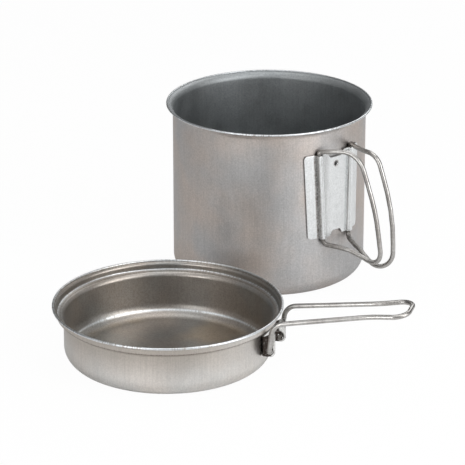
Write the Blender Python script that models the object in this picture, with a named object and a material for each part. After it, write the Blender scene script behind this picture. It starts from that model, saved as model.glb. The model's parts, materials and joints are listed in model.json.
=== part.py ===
"""Camp cooking set: a tall pot with two folding wire loops, and a frying pan that is also its lid.

The model's frame: +Z up, the origin at the centre of the pot's base, +X to the right and +Y away
from the front.  All sizes are in metres.
"""

import math
from typing import NamedTuple

import bmesh
import bpy
from mathutils import Matrix, Vector

# ---- shared sizes ----------------------------------------------------------------------------
CLEARANCE = 0.0003  # gap between neighbouring pieces
VESSEL_SHEET = 0.0005  # wall of the pot and of the pan
BRACKET_SHEET = 0.0008  # sheet of the pot's stamped bracket
WIRE_DIAMETER = 0.0032  # every handle is bent from this wire
BEND_STEP = math.radians(15.0)  # largest turn between two points of a bent wire or plate
DRAWN_STEP = math.radians(30.0)  # the same for the pot's and the pan's drawn corners
LIP_STEP = math.radians(45.0)  # and for their rolled lips
WIRE_STEP = 0.006  # longest straight stretch of a bent wire
TURNED_SIDES = 64  # facets round the pot and the pan
WIRE_SIDES = 3  # curve bevel resolution, 10 facets round a wire

# ---- pot -------------------------------------------------------------------------------------
POT_RADIUS = 0.0665  # outside of the straight wall
POT_HEIGHT = 0.1203
POT_RIM_RADIUS = 0.0710  # outside of the rolled lip
POT_LIP_RADIUS = 0.0007  # bead of the rolled lip
POT_FLARE_RADIUS = 0.0048  # curve from the wall into the flared rim
POT_FLARE_RISE = math.radians(16.0)  # slope of the flared rim at its lip
POT_CORNER_RADIUS = 0.0100  # curve from the base into the wall

# ---- pot bracket: a stamped plate with two tunnels that hold the loops' ends ------------------
BRACKET_AZIMUTH = math.radians(-48.75)
BRACKET_LEAN = math.radians(1.1)  # the bottom edge is this much further round the pot than the top
BRACKET_BOTTOM = 0.0418
BRACKET_TOP = 0.1022
BRACKET_WIDTH_TOP = 0.0510  # along the wall, edge to edge
BRACKET_WIDTH_BOTTOM = 0.0465
BRACKET_CORNER = 0.0028
HINGE_SPACING_TOP = 0.0287  # between the two hinge lines, straight across
HINGE_SPACING_BOTTOM = 0.0240
PLATE_STANDOFF = 0.0009  # space between the wall and the middle of the plate
CREASE_RADIUS = 0.0006
NOTCH_WIDTH_TOP = 0.0170  # dips in the middle of the top and bottom edges
NOTCH_WIDTH_BOTTOM = 0.0120
NOTCH_FLAT = 0.5  # share of a notch's width that has its full depth
NOTCH_DEPTH = 0.0035
HANG_HOLE_DIAMETER = 0.0029
HANG_HOLE_DROP = 0.0086  # from the top edge to the hole's centre

# ---- pot loops: each is drawn flat, reach out from the hinge line against height, then rolled
# ---- to a cylinder so that it lies round the wall when it is folded ----------------------------
LOOP_ROLL_RADIUS = 0.0500
LOOP_TAIL = 0.0180  # length of each end inside its tunnel
LOOP_NECK = 0.0003  # straight wire between a tunnel's mouth and the bend next to it
LOOP_ARM_BEND = 0.0018
LOOP_KNEE_BEND = 0.0142
LOOP_FOOT_BEND = 0.0042


class LoopShape(NamedTuple):
    """The corners of one hand-bent loop, from its upper arm round to its lower one."""

    opening: float  # from flat along the wall
    shoulder_reach: float
    shoulder_rise: float  # above the bracket's top edge
    shoulder_bend: float
    bow_reach: float
    bow_rise: float  # above the bracket's bottom edge
    bow_bend: float
    toe_reach: float
    toe_drop: float  # below the bracket's bottom edge
    toe_bend: float
    knee_reach: float
    knee_drop: float


LEFT_LOOP = LoopShape(
    opening=math.radians(135.6),
    shoulder_reach=0.0280,
    shoulder_rise=0.0037,
    shoulder_bend=0.0165,
    bow_reach=0.0418,
    bow_rise=0.0218,
    bow_bend=0.1130,
    toe_reach=0.0468,
    toe_drop=0.0180,
    toe_bend=0.0099,
    knee_reach=0.0180,
    knee_drop=0.0080,
)
RIGHT_LOOP = LoopShape(
    opening=math.radians(115.5),
    shoulder_reach=0.0308,
    shoulder_rise=0.0026,
    shoulder_bend=0.0104,
    bow_reach=0.0446,
    bow_rise=0.0261,
    bow_bend=0.1430,
    toe_reach=0.0456,
    toe_drop=0.0249,
    toe_bend=0.0116,
    knee_reach=0.0172,
    knee_drop=0.0081,
)

# ---- pan -------------------------------------------------------------------------------------
PAN_PLACE = Vector((-0.0670, -0.1606, 0.0))  # centre of its base
PAN_RADIUS = 0.0675  # outside of the straight wall
PAN_HEIGHT = 0.0377
PAN_LIP_RADIUS = 0.0008
PAN_LIP_OVERHANG = 0.0027  # of the lip beyond the band that drops over the pot's rim
PAN_FLARE_RADIUS = 0.0016
PAN_FLARE_RISE = math.radians(35.0)
PAN_CORNER_RADIUS = 0.0098
LID_PLAY = 0.0006  # between the pot's rim and the band that drops over it
SEAT_DEPTH = 0.0060  # from the pan's rim down to the ledge that sits on the pot's rim
SEAT_DROP = 0.0016  # slope of the ledge, band to wall
SEAT_GROOVE_RADIUS = 0.0007
SEAT_SHOULDER_RADIUS = 0.0030

# ---- pan bracket and handle ------------------------------------------------------------------
PAN_HANDLE_AZIMUTH = math.radians(-16.2)
PAN_BRACKET_SHEET = 0.0010
PIVOT_STANDOFF = 0.0045  # from the pan's wall to the pivot line
PIVOT_HEIGHT = 0.0172
EAR_STANDOFF = 0.0079  # from the pan's wall to the ears' outer edge
EAR_BOTTOM = 0.0134
EAR_TOP = 0.0310
EAR_BOTTOM_CORNER = 0.0035
EAR_TOP_CORNER = 0.0020
EAR_BEND = 0.0013
HANDLE_WIDTH_AT_PIVOT = 0.0305  # between the middles of the two legs
HANDLE_WIDTH_AT_RIM = 0.0317
HANDLE_WIDTH_AT_WAIST = 0.0221
HANDLE_WIDTH_AT_END = 0.0280
HANDLE_KNEE_SETBACK = 0.0004  # of the knee's corner behind the pan's rim
HANDLE_KNEE_HEIGHT = 0.0371
HANDLE_WAIST_REACH = 0.0648  # from the pivot line, as the end's reach is
HANDLE_WAIST_HEIGHT = 0.0480
HANDLE_END_REACH = 0.0882
HANDLE_END_HEIGHT = 0.0515
HANDLE_KNEE_BEND = 0.0095
HANDLE_WAIST_BEND = 0.0600
HANDLE_END_BEND = 0.0087
PIN_BEND = 0.0019
PIN_STICK_OUT = 0.0016  # of the wire's end past the ear's inner face

# ---- sizes that follow -----------------------------------------------------------------------
WIRE_RADIUS = WIRE_DIAMETER / 2.0
HINGE_RADIUS = POT_RADIUS + CLEARANCE + WIRE_RADIUS
TUNNEL_RADIUS = WIRE_RADIUS + CLEARANCE + BRACKET_SHEET / 2.0  # to the middle of the sheet
PAN_BAND_RADIUS = POT_RIM_RADIUS + LID_PLAY + VESSEL_SHEET  # outside of the band over the pot's rim
PAN_RIM_RADIUS = PAN_BAND_RADIUS + PAN_LIP_OVERHANG
PIVOT_REACH = PAN_RADIUS + PIVOT_STANDOFF  # from the pan's axis
EAR_REACH = PAN_RADIUS + EAR_STANDOFF


# ---- drawing helpers -------------------------------------------------------------------------
def rounded_path(corners, bends, arc_step=BEND_STEP):
    """Return the points of a path through the corners, its inner corners rounded to the bends.

    Where a stretch is too short for the two bends at its ends, both are made smaller.
    """
    corners = [Vector(corner).to_3d() for corner in corners]
    turns = []
    reaches = [0.0]
    for before, here, after, bend in zip(corners, corners[1:], corners[2:], bends):
        turn = (here - before).angle(after - here)
        turns.append(turn)
        reaches.append(bend * math.tan(turn / 2.0))
    reaches.append(0.0)
    lengths = [(b - a).length for a, b in zip(corners, corners[1:])]
    shares = [min(1.0, length / max(reaches[i] + reaches[i + 1], 1e-9)) for i, length in enumerate(lengths)]
    points = [corners[0]]
    for i in range(1, len(corners) - 1):
        turn = turns[i - 1]
        reach = reaches[i] * min(shares[i - 1], shares[i])
        if turn < 1e-4 or reach < 1e-7:
            points.append(corners[i])
            continue
        into = (corners[i] - corners[i - 1]).normalized()
        out_of = (corners[i + 1] - corners[i]).normalized()
        radius = reach / math.tan(turn / 2.0)
        centre = corners[i] + (out_of - into).normalized() * radius / math.cos(turn / 2.0)
        start = corners[i] - into * reach - centre
        sideways = into * radius
        steps = max(1, math.ceil(turn / arc_step - 1e-6))
        for step in range(steps + 1):
            angle = turn * step / steps
            points.append(centre + start * math.cos(angle) + sideways * math.sin(angle))
    points.append(corners[-1])
    kept = [points[0]]
    for point in points[1:]:
        if (point - kept[-1]).length > 1e-6:
            kept.append(point)
    return kept


def subdivided(points, longest):
    """Return the path with extra points, so that no stretch of it is longer than the given length."""
    result = [points[0]]
    for start, end in zip(points, points[1:]):
        pieces = max(1, math.ceil((end - start).length / longest))
        for piece in range(1, pieces + 1):
            result.append(start.lerp(end, piece / pieces))
    return result


def offset_path(points, distance):
    """Return the path moved sideways in its XY plane, to the right of its direction of travel."""
    result = []
    for i, point in enumerate(points):
        before = points[max(i - 1, 0)]
        after = points[min(i + 1, len(points) - 1)]
        into = (point - before).normalized() if i > 0 else (after - point).normalized()
        out_of = (after - point).normalized() if i < len(points) - 1 else into
        along = (into + out_of).normalized()
        right = Vector((along.y, -along.x, 0.0))
        result.append(point + right * distance / max(along.dot(into), 0.5))
    return result


def polar(radius, azimuth, height=0.0):
    """Return the point at that distance from the Z axis, direction and height."""
    return Vector((radius * math.cos(azimuth), radius * math.sin(azimuth), height))


def metal(name, colour, roughness):
    """Return a metallic material of that colour and roughness."""
    material = bpy.data.materials.new(name)
    material.use_nodes = True
    shader = material.node_tree.nodes["Principled BSDF"]
    shader.inputs["Base Color"].default_value = (*colour, 1.0)
    shader.inputs["Metallic"].default_value = 1.0
    shader.inputs["Roughness"].default_value = roughness
    return material


def add_object(name, data, material, parent=None):
    """Put a mesh or a curve into the scene as an object of that name."""
    thing = bpy.data.objects.new(name, data)
    bpy.context.scene.collection.objects.link(thing)
    if material is not None:
        data.materials.append(material)
    thing.parent = parent
    return thing


def smooth(mesh, angle=math.radians(35.0)):
    """Shade a mesh smooth, apart from the edges sharper than the angle."""
    mesh.shade_smooth()
    mesh.set_sharp_from_angle(angle=angle)


# ---- vessels ---------------------------------------------------------------------------------
def vessel_section(middle_line, lip_radius):
    """Return the closed half section of a sheet vessel whose rim is rolled into a round lip.

    The section starts on the axis under the base, runs up the outside, round the lip and down
    the inside to the axis again.  The middle line ends at the centre of the lip.
    """
    half = VESSEL_SHEET / 2.0
    outside = offset_path(middle_line, half)[:-1]
    inside = offset_path(middle_line, -half)[:-1]
    centre = middle_line[-1]
    forward = (centre - middle_line[-2]).normalized()
    heading = math.atan2(forward.y, forward.x)
    sweep = math.pi - math.asin(half / lip_radius)
    first = math.floor((heading - sweep) / LIP_STEP) + 1
    last = math.ceil((heading + sweep) / LIP_STEP) - 1
    angles = [heading - sweep]
    angles += [step * LIP_STEP for step in range(first, last + 1)]
    angles += [heading + sweep]
    lip = [centre + Vector((math.cos(angle), math.sin(angle), 0.0)) * lip_radius for angle in angles]
    return outside + lip + inside[::-1]


def turned_vessel(name, section, material, parent=None):
    """Spin a half section, whose two ends lie on the axis, round the Z axis."""
    sketch = bmesh.new()
    points = [sketch.verts.new((point.x, 0.0, point.y)) for point in section]
    edges = [sketch.edges.new(pair) for pair in zip(points, points[1:])]
    bmesh.ops.spin(
        sketch,
        geom=points + edges,
        cent=(0.0, 0.0, 0.0),
        axis=(0.0, 0.0, 1.0),
        angle=2.0 * math.pi,
        steps=TURNED_SIDES,
    )
    bmesh.ops.remove_doubles(sketch, verts=sketch.verts, dist=0.00001)
    bmesh.ops.recalc_face_normals(sketch, faces=sketch.faces)
    mesh = bpy.data.meshes.new(name)
    sketch.to_mesh(mesh)
    sketch.free()
    smooth(mesh)
    return add_object(name, mesh, material, parent)


def pot_middle_line():
    """Return the middle of the pot's sheet, from the axis to the centre of its lip."""
    half = VESSEL_SHEET / 2.0
    wall = POT_RADIUS - half
    lip = Vector((POT_RIM_RADIUS - POT_LIP_RADIUS, POT_HEIGHT - POT_LIP_RADIUS))
    flare_foot = lip.y - (lip.x - wall) * math.tan(POT_FLARE_RISE)
    corners = [(0.0, half), (wall, half), (wall, flare_foot), lip]
    return rounded_path(corners, [POT_CORNER_RADIUS, POT_FLARE_RADIUS], DRAWN_STEP)


def pan_middle_line():
    """Return the middle of the pan's sheet, from the axis, over the lid seat, to its lip."""
    half = VESSEL_SHEET / 2.0
    wall = PAN_RADIUS - half
    band = PAN_BAND_RADIUS - half
    seat = PAN_HEIGHT - SEAT_DEPTH
    lip = Vector((PAN_RIM_RADIUS - PAN_LIP_RADIUS, PAN_HEIGHT - PAN_LIP_RADIUS))
    flare_foot = lip.y - (lip.x - band) * math.tan(PAN_FLARE_RISE)
    corners = [(0.0, half), (wall, half), (wall, seat - SEAT_DROP), (band, seat), (band, flare_foot), lip]
    bends = [PAN_CORNER_RADIUS, SEAT_SHOULDER_RADIUS, SEAT_GROOVE_RADIUS, PAN_FLARE_RADIUS]
    return rounded_path(corners, bends, DRAWN_STEP)


# ---- formed sheet ----------------------------------------------------------------------------
def corner_relief(distance, radius):
    """Return how far a rounded corner stays back from the edge, at a distance from its tip."""
    inset = min(max(radius - distance, 0.0), radius)
    return radius - math.sqrt(radius**2 - inset**2)


def formed_sheet(name, low_edge, high_edge, thickness, material, parent=None):
    """Make a plate between two edges of matching points, thickened evenly to both sides."""
    sketch = bmesh.new()
    low = [sketch.verts.new(point) for point in low_edge]
    high = [sketch.verts.new(point) for point in high_edge]
    for i in range(len(low) - 1):
        sketch.faces.new((low[i], low[i + 1], high[i + 1], high[i]))
    mesh = bpy.data.meshes.new(name)
    sketch.to_mesh(mesh)
    sketch.free()
    smooth(mesh, math.radians(60.0))
    plate = add_object(name, mesh, material, parent)
    thicken = plate.modifiers.new("thickness", "SOLIDIFY")
    thicken.thickness = thickness
    thicken.offset = 0.0
    thicken.use_even_offset = True
    return plate


def drill(plate, name, centre, direction, diameter, length):
    """Cut a round hole through a plate, centred at a point of the plate's own frame."""
    sketch = bmesh.new()
    bmesh.ops.create_cone(
        sketch,
        cap_ends=True,
        segments=16,
        radius1=diameter / 2.0,
        radius2=diameter / 2.0,
        depth=length,
        matrix=Matrix.Translation(centre) @ direction.to_track_quat("Z", "Y").to_matrix().to_4x4(),
    )
    mesh = bpy.data.meshes.new(name)
    sketch.to_mesh(mesh)
    sketch.free()
    cutter = add_object(name, mesh, None, plate)
    cutter.hide_render = True
    cutter.display_type = "WIRE"
    cut = plate.modifiers.new(name, "BOOLEAN")
    cut.operation = "DIFFERENCE"
    cut.solver = "EXACT"
    cut.object = cutter


# ---- pot bracket -----------------------------------------------------------------------------
def along_wall(spacing):
    """Return the distance along the hinge circle from the bracket's middle to a hinge line."""
    return HINGE_RADIUS * math.asin(spacing / 2.0 / HINGE_RADIUS)


def bracket_half_section(hinge_place, half_width, half_notch):
    """Return one half of the plate's cross section: place along the wall, height off the wall."""
    plate_height = PLATE_STANDOFF + BRACKET_SHEET / 2.0
    flange_height = CLEARANCE + BRACKET_SHEET / 2.0
    crown_height = CLEARANCE + WIRE_RADIUS + TUNNEL_RADIUS
    inner_side = hinge_place - TUNNEL_RADIUS
    outer_side = hinge_place + TUNNEL_RADIUS
    corners = [
        (0.0, plate_height),
        (inner_side, plate_height),
        (inner_side, crown_height),
        (outer_side, crown_height),
        (outer_side, flange_height),
        (half_width - BRACKET_CORNER, flange_height),
    ]
    bends = [CREASE_RADIUS, TUNNEL_RADIUS, TUNNEL_RADIUS, CREASE_RADIUS]
    slope = half_notch * (1.0 - NOTCH_FLAT)
    notch = [Vector((0.0, plate_height, 0.0))]
    for step in range(5):
        notch.append(Vector((half_notch - slope * (1.0 - step / 4), plate_height, 0.0)))
    edge = []
    for step in range(1, 5):
        place = half_width - BRACKET_CORNER * (1.0 - math.sin(math.pi / 2.0 * step / 4))
        edge.append(Vector((place, flange_height, 0.0)))
    return notch + rounded_path(corners, bends)[1:] + edge


def bracket_azimuth(share):
    """Return the direction of the bracket's middle at a share of its height, bottom to top."""
    return BRACKET_AZIMUTH + BRACKET_LEAN * (0.5 - share)


def notch_depth(place, half_notch):
    """Return how far a notch cuts into the edge at a distance from its middle."""
    slope = half_notch * (1.0 - NOTCH_FLAT)
    along = min(max((half_notch - place) / slope, 0.0), 1.0)
    return NOTCH_DEPTH / 2.0 * (1.0 - math.cos(math.pi * along))


def bracket_edges():
    """Return the bracket's bottom and top edges as matching points."""
    half_bottom = BRACKET_WIDTH_BOTTOM / 2.0
    half_top = BRACKET_WIDTH_TOP / 2.0
    notch_bottom = NOTCH_WIDTH_BOTTOM / 2.0
    notch_top = NOTCH_WIDTH_TOP / 2.0
    low_half = bracket_half_section(along_wall(HINGE_SPACING_BOTTOM), half_bottom, notch_bottom)
    high_half = bracket_half_section(along_wall(HINGE_SPACING_TOP), half_top, notch_top)
    height = BRACKET_TOP - BRACKET_BOTTOM
    low_edge = []
    high_edge = []
    for side in (-1, 1):
        pairs = list(zip(low_half, high_half))
        pairs = pairs[:0:-1] if side < 0 else pairs
        for low, high in pairs:
            bottom = notch_depth(low.x, notch_bottom) + corner_relief(half_bottom - low.x, BRACKET_CORNER)
            top = notch_depth(high.x, notch_top) + corner_relief(half_top - high.x, BRACKET_CORNER)
            for edge, share in ((low_edge, bottom / height), (high_edge, 1.0 - top / height)):
                place = side * (low.x + (high.x - low.x) * share)
                azimuth = bracket_azimuth(share) + place / HINGE_RADIUS
                edge.append(polar(POT_RADIUS + low.y, azimuth, BRACKET_BOTTOM + height * share))
    return low_edge, high_edge


def build_pot_bracket(material):
    """Make the stamped plate that is spot welded to the pot and holds the two loops."""
    low_edge, high_edge = bracket_edges()
    plate = formed_sheet("pot_bracket", low_edge, high_edge, BRACKET_SHEET, material)
    azimuth = bracket_azimuth(1.0)
    middle = POT_RADIUS + PLATE_STANDOFF + BRACKET_SHEET / 2.0
    centre = polar(middle, azimuth, BRACKET_TOP - HANG_HOLE_DROP)
    drill(plate, "hang_hole_cutter", centre, polar(1.0, azimuth), HANG_HOLE_DIAMETER, 2.0 * BRACKET_SHEET)
    return plate


# ---- pot loops -------------------------------------------------------------------------------
def hinge_ends(side):
    """Return the bottom and the top end of a loop's hinge line, level with the bracket's edges."""
    ends = []
    for share, spacing, height in (
        (0.0, HINGE_SPACING_BOTTOM, BRACKET_BOTTOM),
        (1.0, HINGE_SPACING_TOP, BRACKET_TOP),
    ):
        azimuth = bracket_azimuth(share) + side * along_wall(spacing) / HINGE_RADIUS
        ends.append(polar(HINGE_RADIUS, azimuth, height))
    return ends


def loop_frame(side, opening):
    """Return the frame of a loop: Z up its hinge line, X out along the loop, origin at the bottom."""
    bottom, top = hinge_ends(side)
    up = (top - bottom).normalized()
    outward = polar(1.0, BRACKET_AZIMUTH + side * (math.pi / 2.0 - opening))
    outward = (outward - up * outward.dot(up)).normalized()
    sideways = up.cross(outward)
    frame = Matrix((outward, sideways, up)).transposed().to_4x4()
    frame.translation = bottom
    return frame


def loop_points(side, shape):
    """Return the wire's centre line in the loop's own frame."""
    bottom, top = hinge_ends(side)
    hinge_length = (top - bottom).length
    corners = [
        (0.0, hinge_length - LOOP_TAIL),
        (0.0, hinge_length + LOOP_NECK + LOOP_ARM_BEND),
        (shape.shoulder_reach, hinge_length + shape.shoulder_rise),
        (shape.bow_reach, shape.bow_rise),
        (shape.toe_reach, -shape.toe_drop),
        (shape.knee_reach, -shape.knee_drop),
        (0.0, -LOOP_NECK - LOOP_FOOT_BEND),
        (0.0, LOOP_TAIL),
    ]
    bends = [
        LOOP_ARM_BEND,
        shape.shoulder_bend,
        shape.bow_bend,
        shape.toe_bend,
        LOOP_KNEE_BEND,
        LOOP_FOOT_BEND,
    ]
    flat = subdivided(rounded_path(corners, bends), WIRE_STEP)
    points = []
    for point in flat:
        turn = point.x / LOOP_ROLL_RADIUS
        lean = side * LOOP_ROLL_RADIUS * (1.0 - math.cos(turn))
        points.append(Vector((LOOP_ROLL_RADIUS * math.sin(turn), lean, point.y)))
    return points


# ---- wires -----------------------------------------------------------------------------------
def bent_wire(name, points, material, parent=None):
    """Make a round wire with flat ends along the points."""
    curve = bpy.data.curves.new(name, "CURVE")
    curve.dimensions = "3D"
    curve.bevel_depth = WIRE_RADIUS
    curve.bevel_resolution = WIRE_SIDES
    curve.use_fill_caps = True
    spline = curve.splines.new("POLY")
    spline.points.add(len(points) - 1)
    for place, point in zip(spline.points, points):
        place.co = (*point, 1.0)
    spline.use_smooth = True
    return add_object(name, curve, material, parent)


def build_pot_loop(name, side, shape, material):
    """Make one wire loop, its origin on its hinge line at the bracket's bottom edge."""
    loop = bent_wire(name, loop_points(side, shape), material)
    loop.matrix_world = loop_frame(side, shape.opening)
    return loop


# ---- pan bracket and handle ------------------------------------------------------------------
def ear_place():
    """Return the sideways distance from the handle's middle to the middle of an ear's sheet."""
    return HANDLE_WIDTH_AT_PIVOT / 2.0 - WIRE_RADIUS - CLEARANCE - PAN_BRACKET_SHEET / 2.0


def build_pan_bracket(material, parent):
    """Make the U-shaped plate that is welded to the pan: a curved base and two ears."""
    base_radius = PAN_RADIUS + CLEARANCE + PAN_BRACKET_SHEET / 2.0
    side = ear_place()
    half_angle = math.asin(side / base_radius)
    round_off = [1.0 - math.sin(math.pi / 2.0 * step / 5) for step in range(5, -1, -1)]
    tip = [Vector((EAR_REACH - EAR_BOTTOM_CORNER * share, -side)) for share in round_off]
    arc = [polar(base_radius, half_angle * step / 4.0).to_2d() for step in range(-4, 5)]
    mirrored_tip = [Vector((point.x, -point.y)) for point in reversed(tip)]
    bends = [0.0] * (len(tip) - 1) + [EAR_BEND] + [0.0] * (len(arc) - 2) + [EAR_BEND] + [0.0] * (len(tip) - 1)
    section = rounded_path(tip + arc + mirrored_tip, bends)

    # The ears' top edges climb outwards, below the ledge of the pan's lid seat.
    base_top = PAN_HEIGHT - SEAT_DEPTH - SEAT_DROP - SEAT_SHOULDER_RADIUS
    low_edge = []
    high_edge = []
    for point in section:
        climb = max(0.0, point.x - base_radius) / (EAR_REACH - base_radius)
        from_tip = EAR_REACH - point.x
        low = EAR_BOTTOM + corner_relief(from_tip, EAR_BOTTOM_CORNER)
        high = base_top + (EAR_TOP - base_top) * climb - corner_relief(from_tip, EAR_TOP_CORNER)
        low_edge.append((point.x, point.y, low))
        high_edge.append((point.x, point.y, high))
    plate = formed_sheet("pan_bracket", low_edge, high_edge, PAN_BRACKET_SHEET, material, parent)
    plate.rotation_euler.z = PAN_HANDLE_AZIMUTH
    hole = WIRE_DIAMETER + 2.0 * CLEARANCE
    pivot = Vector((PIVOT_REACH, 0.0, PIVOT_HEIGHT))
    drill(plate, "pivot_hole_cutter", pivot, Vector((0.0, 1.0, 0.0)), hole, HANDLE_WIDTH_AT_PIVOT)
    return plate


def build_pan_handle(material, parent):
    """Make the U-shaped wire handle, its origin on its pivot line, midway between the ears."""
    pin_end = ear_place() - PAN_BRACKET_SHEET / 2.0 - PIN_STICK_OUT
    half = [
        (PIVOT_REACH, pin_end, PIVOT_HEIGHT),
        (PIVOT_REACH, HANDLE_WIDTH_AT_PIVOT / 2.0, PIVOT_HEIGHT),
        (PAN_RIM_RADIUS - HANDLE_KNEE_SETBACK, HANDLE_WIDTH_AT_RIM / 2.0, HANDLE_KNEE_HEIGHT),
        (PIVOT_REACH + HANDLE_WAIST_REACH, HANDLE_WIDTH_AT_WAIST / 2.0, HANDLE_WAIST_HEIGHT),
        (PIVOT_REACH + HANDLE_END_REACH, HANDLE_WIDTH_AT_END / 2.0, HANDLE_END_HEIGHT),
    ]
    bends = [PIN_BEND, HANDLE_KNEE_BEND, HANDLE_WAIST_BEND, HANDLE_END_BEND]
    pivot = Vector((PIVOT_REACH, 0.0, PIVOT_HEIGHT))
    corners = half + [(x, -y, z) for x, y, z in reversed(half)]
    corners = [Vector(corner) - pivot for corner in corners]
    points = subdivided(rounded_path(corners, bends + bends[::-1]), 2.0 * WIRE_STEP)
    handle = bent_wire("pan_handle", points, material, parent)
    handle.location = polar(PIVOT_REACH, PAN_HANDLE_AZIMUTH, PIVOT_HEIGHT)
    handle.rotation_euler.z = PAN_HANDLE_AZIMUTH
    return handle


def main():
    """Clear the scene and build the set, with the handles open and the pan standing by the pot."""
    for thing in list(bpy.data.objects):
        bpy.data.objects.remove(thing, do_unlink=True)

    titanium = metal("titanium", (0.36, 0.345, 0.33), 0.38)
    bracket_steel = metal("bracket_steel", (0.72, 0.73, 0.74), 0.22)
    wire_steel = metal("wire_steel", (0.50, 0.48, 0.46), 0.28)

    turned_vessel("pot_body", vessel_section(pot_middle_line(), POT_LIP_RADIUS), titanium)
    build_pot_bracket(bracket_steel)
    build_pot_loop("pot_handle_left", -1, LEFT_LOOP, wire_steel)
    build_pot_loop("pot_handle_right", 1, RIGHT_LOOP, wire_steel)

    pan_frame = bpy.data.objects.new("pan_frame", None)
    bpy.context.scene.collection.objects.link(pan_frame)
    pan_frame.location = PAN_PLACE
    turned_vessel("pan_body", vessel_section(pan_middle_line(), PAN_LIP_RADIUS), titanium, pan_frame)
    build_pan_bracket(bracket_steel, pan_frame)
    build_pan_handle(wire_steel, pan_frame)


main()
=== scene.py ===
"""Looks of a camp cooking set: a tall titanium pot with two wire loops, and a pan with a wire handle.

The model's frame: +Z up, the origin at the centre of the pot's base, +X to the right and +Y away
from the front.  All sizes are in metres.
"""

import json
import logging
import math
from collections.abc import Sequence
from dataclasses import dataclass, field, replace
from enum import Enum

import bpy
import numpy as np
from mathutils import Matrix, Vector
from numpy.typing import NDArray


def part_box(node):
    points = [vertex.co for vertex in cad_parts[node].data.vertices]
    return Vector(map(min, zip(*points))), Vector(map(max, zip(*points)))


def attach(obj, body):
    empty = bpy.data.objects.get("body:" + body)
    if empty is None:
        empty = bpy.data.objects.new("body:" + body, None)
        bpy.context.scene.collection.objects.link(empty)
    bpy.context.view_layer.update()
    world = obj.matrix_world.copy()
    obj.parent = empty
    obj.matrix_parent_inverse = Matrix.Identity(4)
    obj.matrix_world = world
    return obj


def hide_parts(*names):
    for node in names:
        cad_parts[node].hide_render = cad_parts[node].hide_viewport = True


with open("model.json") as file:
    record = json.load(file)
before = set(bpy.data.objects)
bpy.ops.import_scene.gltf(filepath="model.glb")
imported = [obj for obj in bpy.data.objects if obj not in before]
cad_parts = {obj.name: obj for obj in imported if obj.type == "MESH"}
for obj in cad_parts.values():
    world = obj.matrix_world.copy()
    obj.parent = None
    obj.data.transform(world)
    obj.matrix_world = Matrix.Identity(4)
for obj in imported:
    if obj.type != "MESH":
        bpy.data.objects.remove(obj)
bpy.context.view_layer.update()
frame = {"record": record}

LOG = logging.getLogger("cooking_set")

Floats = NDArray[np.float64]
Ints = NDArray[np.int32]
Pair = tuple[float, float]
Colour = tuple[float, float, float]
Place = tuple[float, float, float]
Shares = dict["Share", Floats]
Socket = bpy.types.NodeSocket
Material = bpy.types.Material
Piece = bpy.types.Object

GAP = 0.0003  # between neighbouring pieces
UP = np.array([0.0, 0.0, 1.0])
WHITE = (1.0, 1.0, 1.0, 1.0)
STRAIGHT = 1e-4  # a turn below this, in radians, isn't rounded
NOTHING = 1e-6  # a length below this counts as none
CLOSE = 1e-5  # points nearer than this would be one
UNSPLIT = 1.0  # longer than any stretch of a plate
PLATE_TURN = math.radians(10.0)  # the largest turn between two points of a plate
WIRE_TURN = math.radians(5.0)  # the same for a wire
WIRE_STEP = 0.0015  # the longest stretch of a wire between two points
EDGE_POINTS = 6  # over the rounding of an edge
UV_GAP = 0.01  # between a plate's two faces in its UV map
DRILL_REACH = 0.002  # of a hole's cut to each side of its middle
DRILL_SIDES = 48


class Body(Enum):
    """The bodies that move on their own."""

    POT = "pot"
    LEFT_LOOP = "pot_loop_left"
    RIGHT_LOOP = "pot_loop_right"
    PAN = "pan"
    PAN_GRIP = "pan_grip"


class Slot(Enum):
    """The record's material slots."""

    VESSEL = "vessel"
    BRACKET = "bracket"
    WIRE = "wire"


class Share(Enum):
    """The point attributes that tell a finish where it lies, each from 0 to 1."""

    INSIDE = "inside_share"  # 1 inside a vessel
    PAINTED_SHADE = "painted_shade_share"  # 1 where the painted shade is darkest
    WEAR_AND_HIGHLIGHT = "wear_and_highlight_share"  # 1 where the metal is rubbed bright and a highlight is painted


class Side(Enum):
    """The two loops of the pot, as the sign of their place along the wall."""

    LEFT = -1
    RIGHT = 1


# ---- meshes ----------------------------------------------------------------------------------
@dataclass(frozen=True)
class Surface:
    """A mesh as whole arrays.

    Attributes:
        points: one row of x, y, z for each point.
        quads: four point numbers for each quad, counter-clockwise seen from outside.
        triangles: three point numbers for each triangle.
        quad_uvs: the UV places of the quads' corners, in metres.
        triangle_uvs: the UV places of the triangles' corners.
        shares: numbers for each point that a finish reads.
    """

    points: Floats
    quads: Ints
    triangles: Ints
    quad_uvs: Floats
    triangle_uvs: Floats
    shares: Shares = field(default_factory=dict)

    def mesh(self, name: str) -> bpy.types.Mesh:
        """Put the arrays into a new mesh.

        Args:
            name: the mesh's name.

        Returns:
            The mesh, shaded smooth.
        """
        mesh = bpy.data.meshes.new(name)
        faces = self.quads.tolist() + self.triangles.tolist()
        mesh.from_pydata(self.points.tolist(), [], faces)
        layer = mesh.uv_layers.new(name="surface")
        places = np.concatenate([self.quad_uvs.reshape(-1, 2), self.triangle_uvs.reshape(-1, 2)])
        layer.data.foreach_set("uv", places.astype(np.float32).ravel())
        for share, values in self.shares.items():
            attribute = mesh.attributes.new(share.value, "FLOAT", "POINT")
            attribute.data.foreach_set("value", values.astype(np.float32))
        mesh.shade_smooth()
        mesh.update()
        return mesh


def ring_quads(rows: int, columns: int) -> tuple[Ints, Ints, Ints]:
    """Number the quads of a grid whose last column joins its first.

    Point (i, j) of the grid has the number i * columns + j.

    Args:
        rows: the number of rows of points.
        columns: the number of columns of points.

    Returns:
        The quads, and the row and the unwrapped column of each quad's four corners.
    """
    i, j = np.meshgrid(np.arange(rows - 1), np.arange(columns), indexing="ij")
    corner_rows = np.stack([i, i, i + 1, i + 1], axis=-1).reshape(-1, 4)
    corner_columns = np.stack([j, j + 1, j + 1, j], axis=-1).reshape(-1, 4)
    quads = corner_rows * columns + corner_columns % columns
    return quads.astype(np.int32), corner_rows, corner_columns


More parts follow.
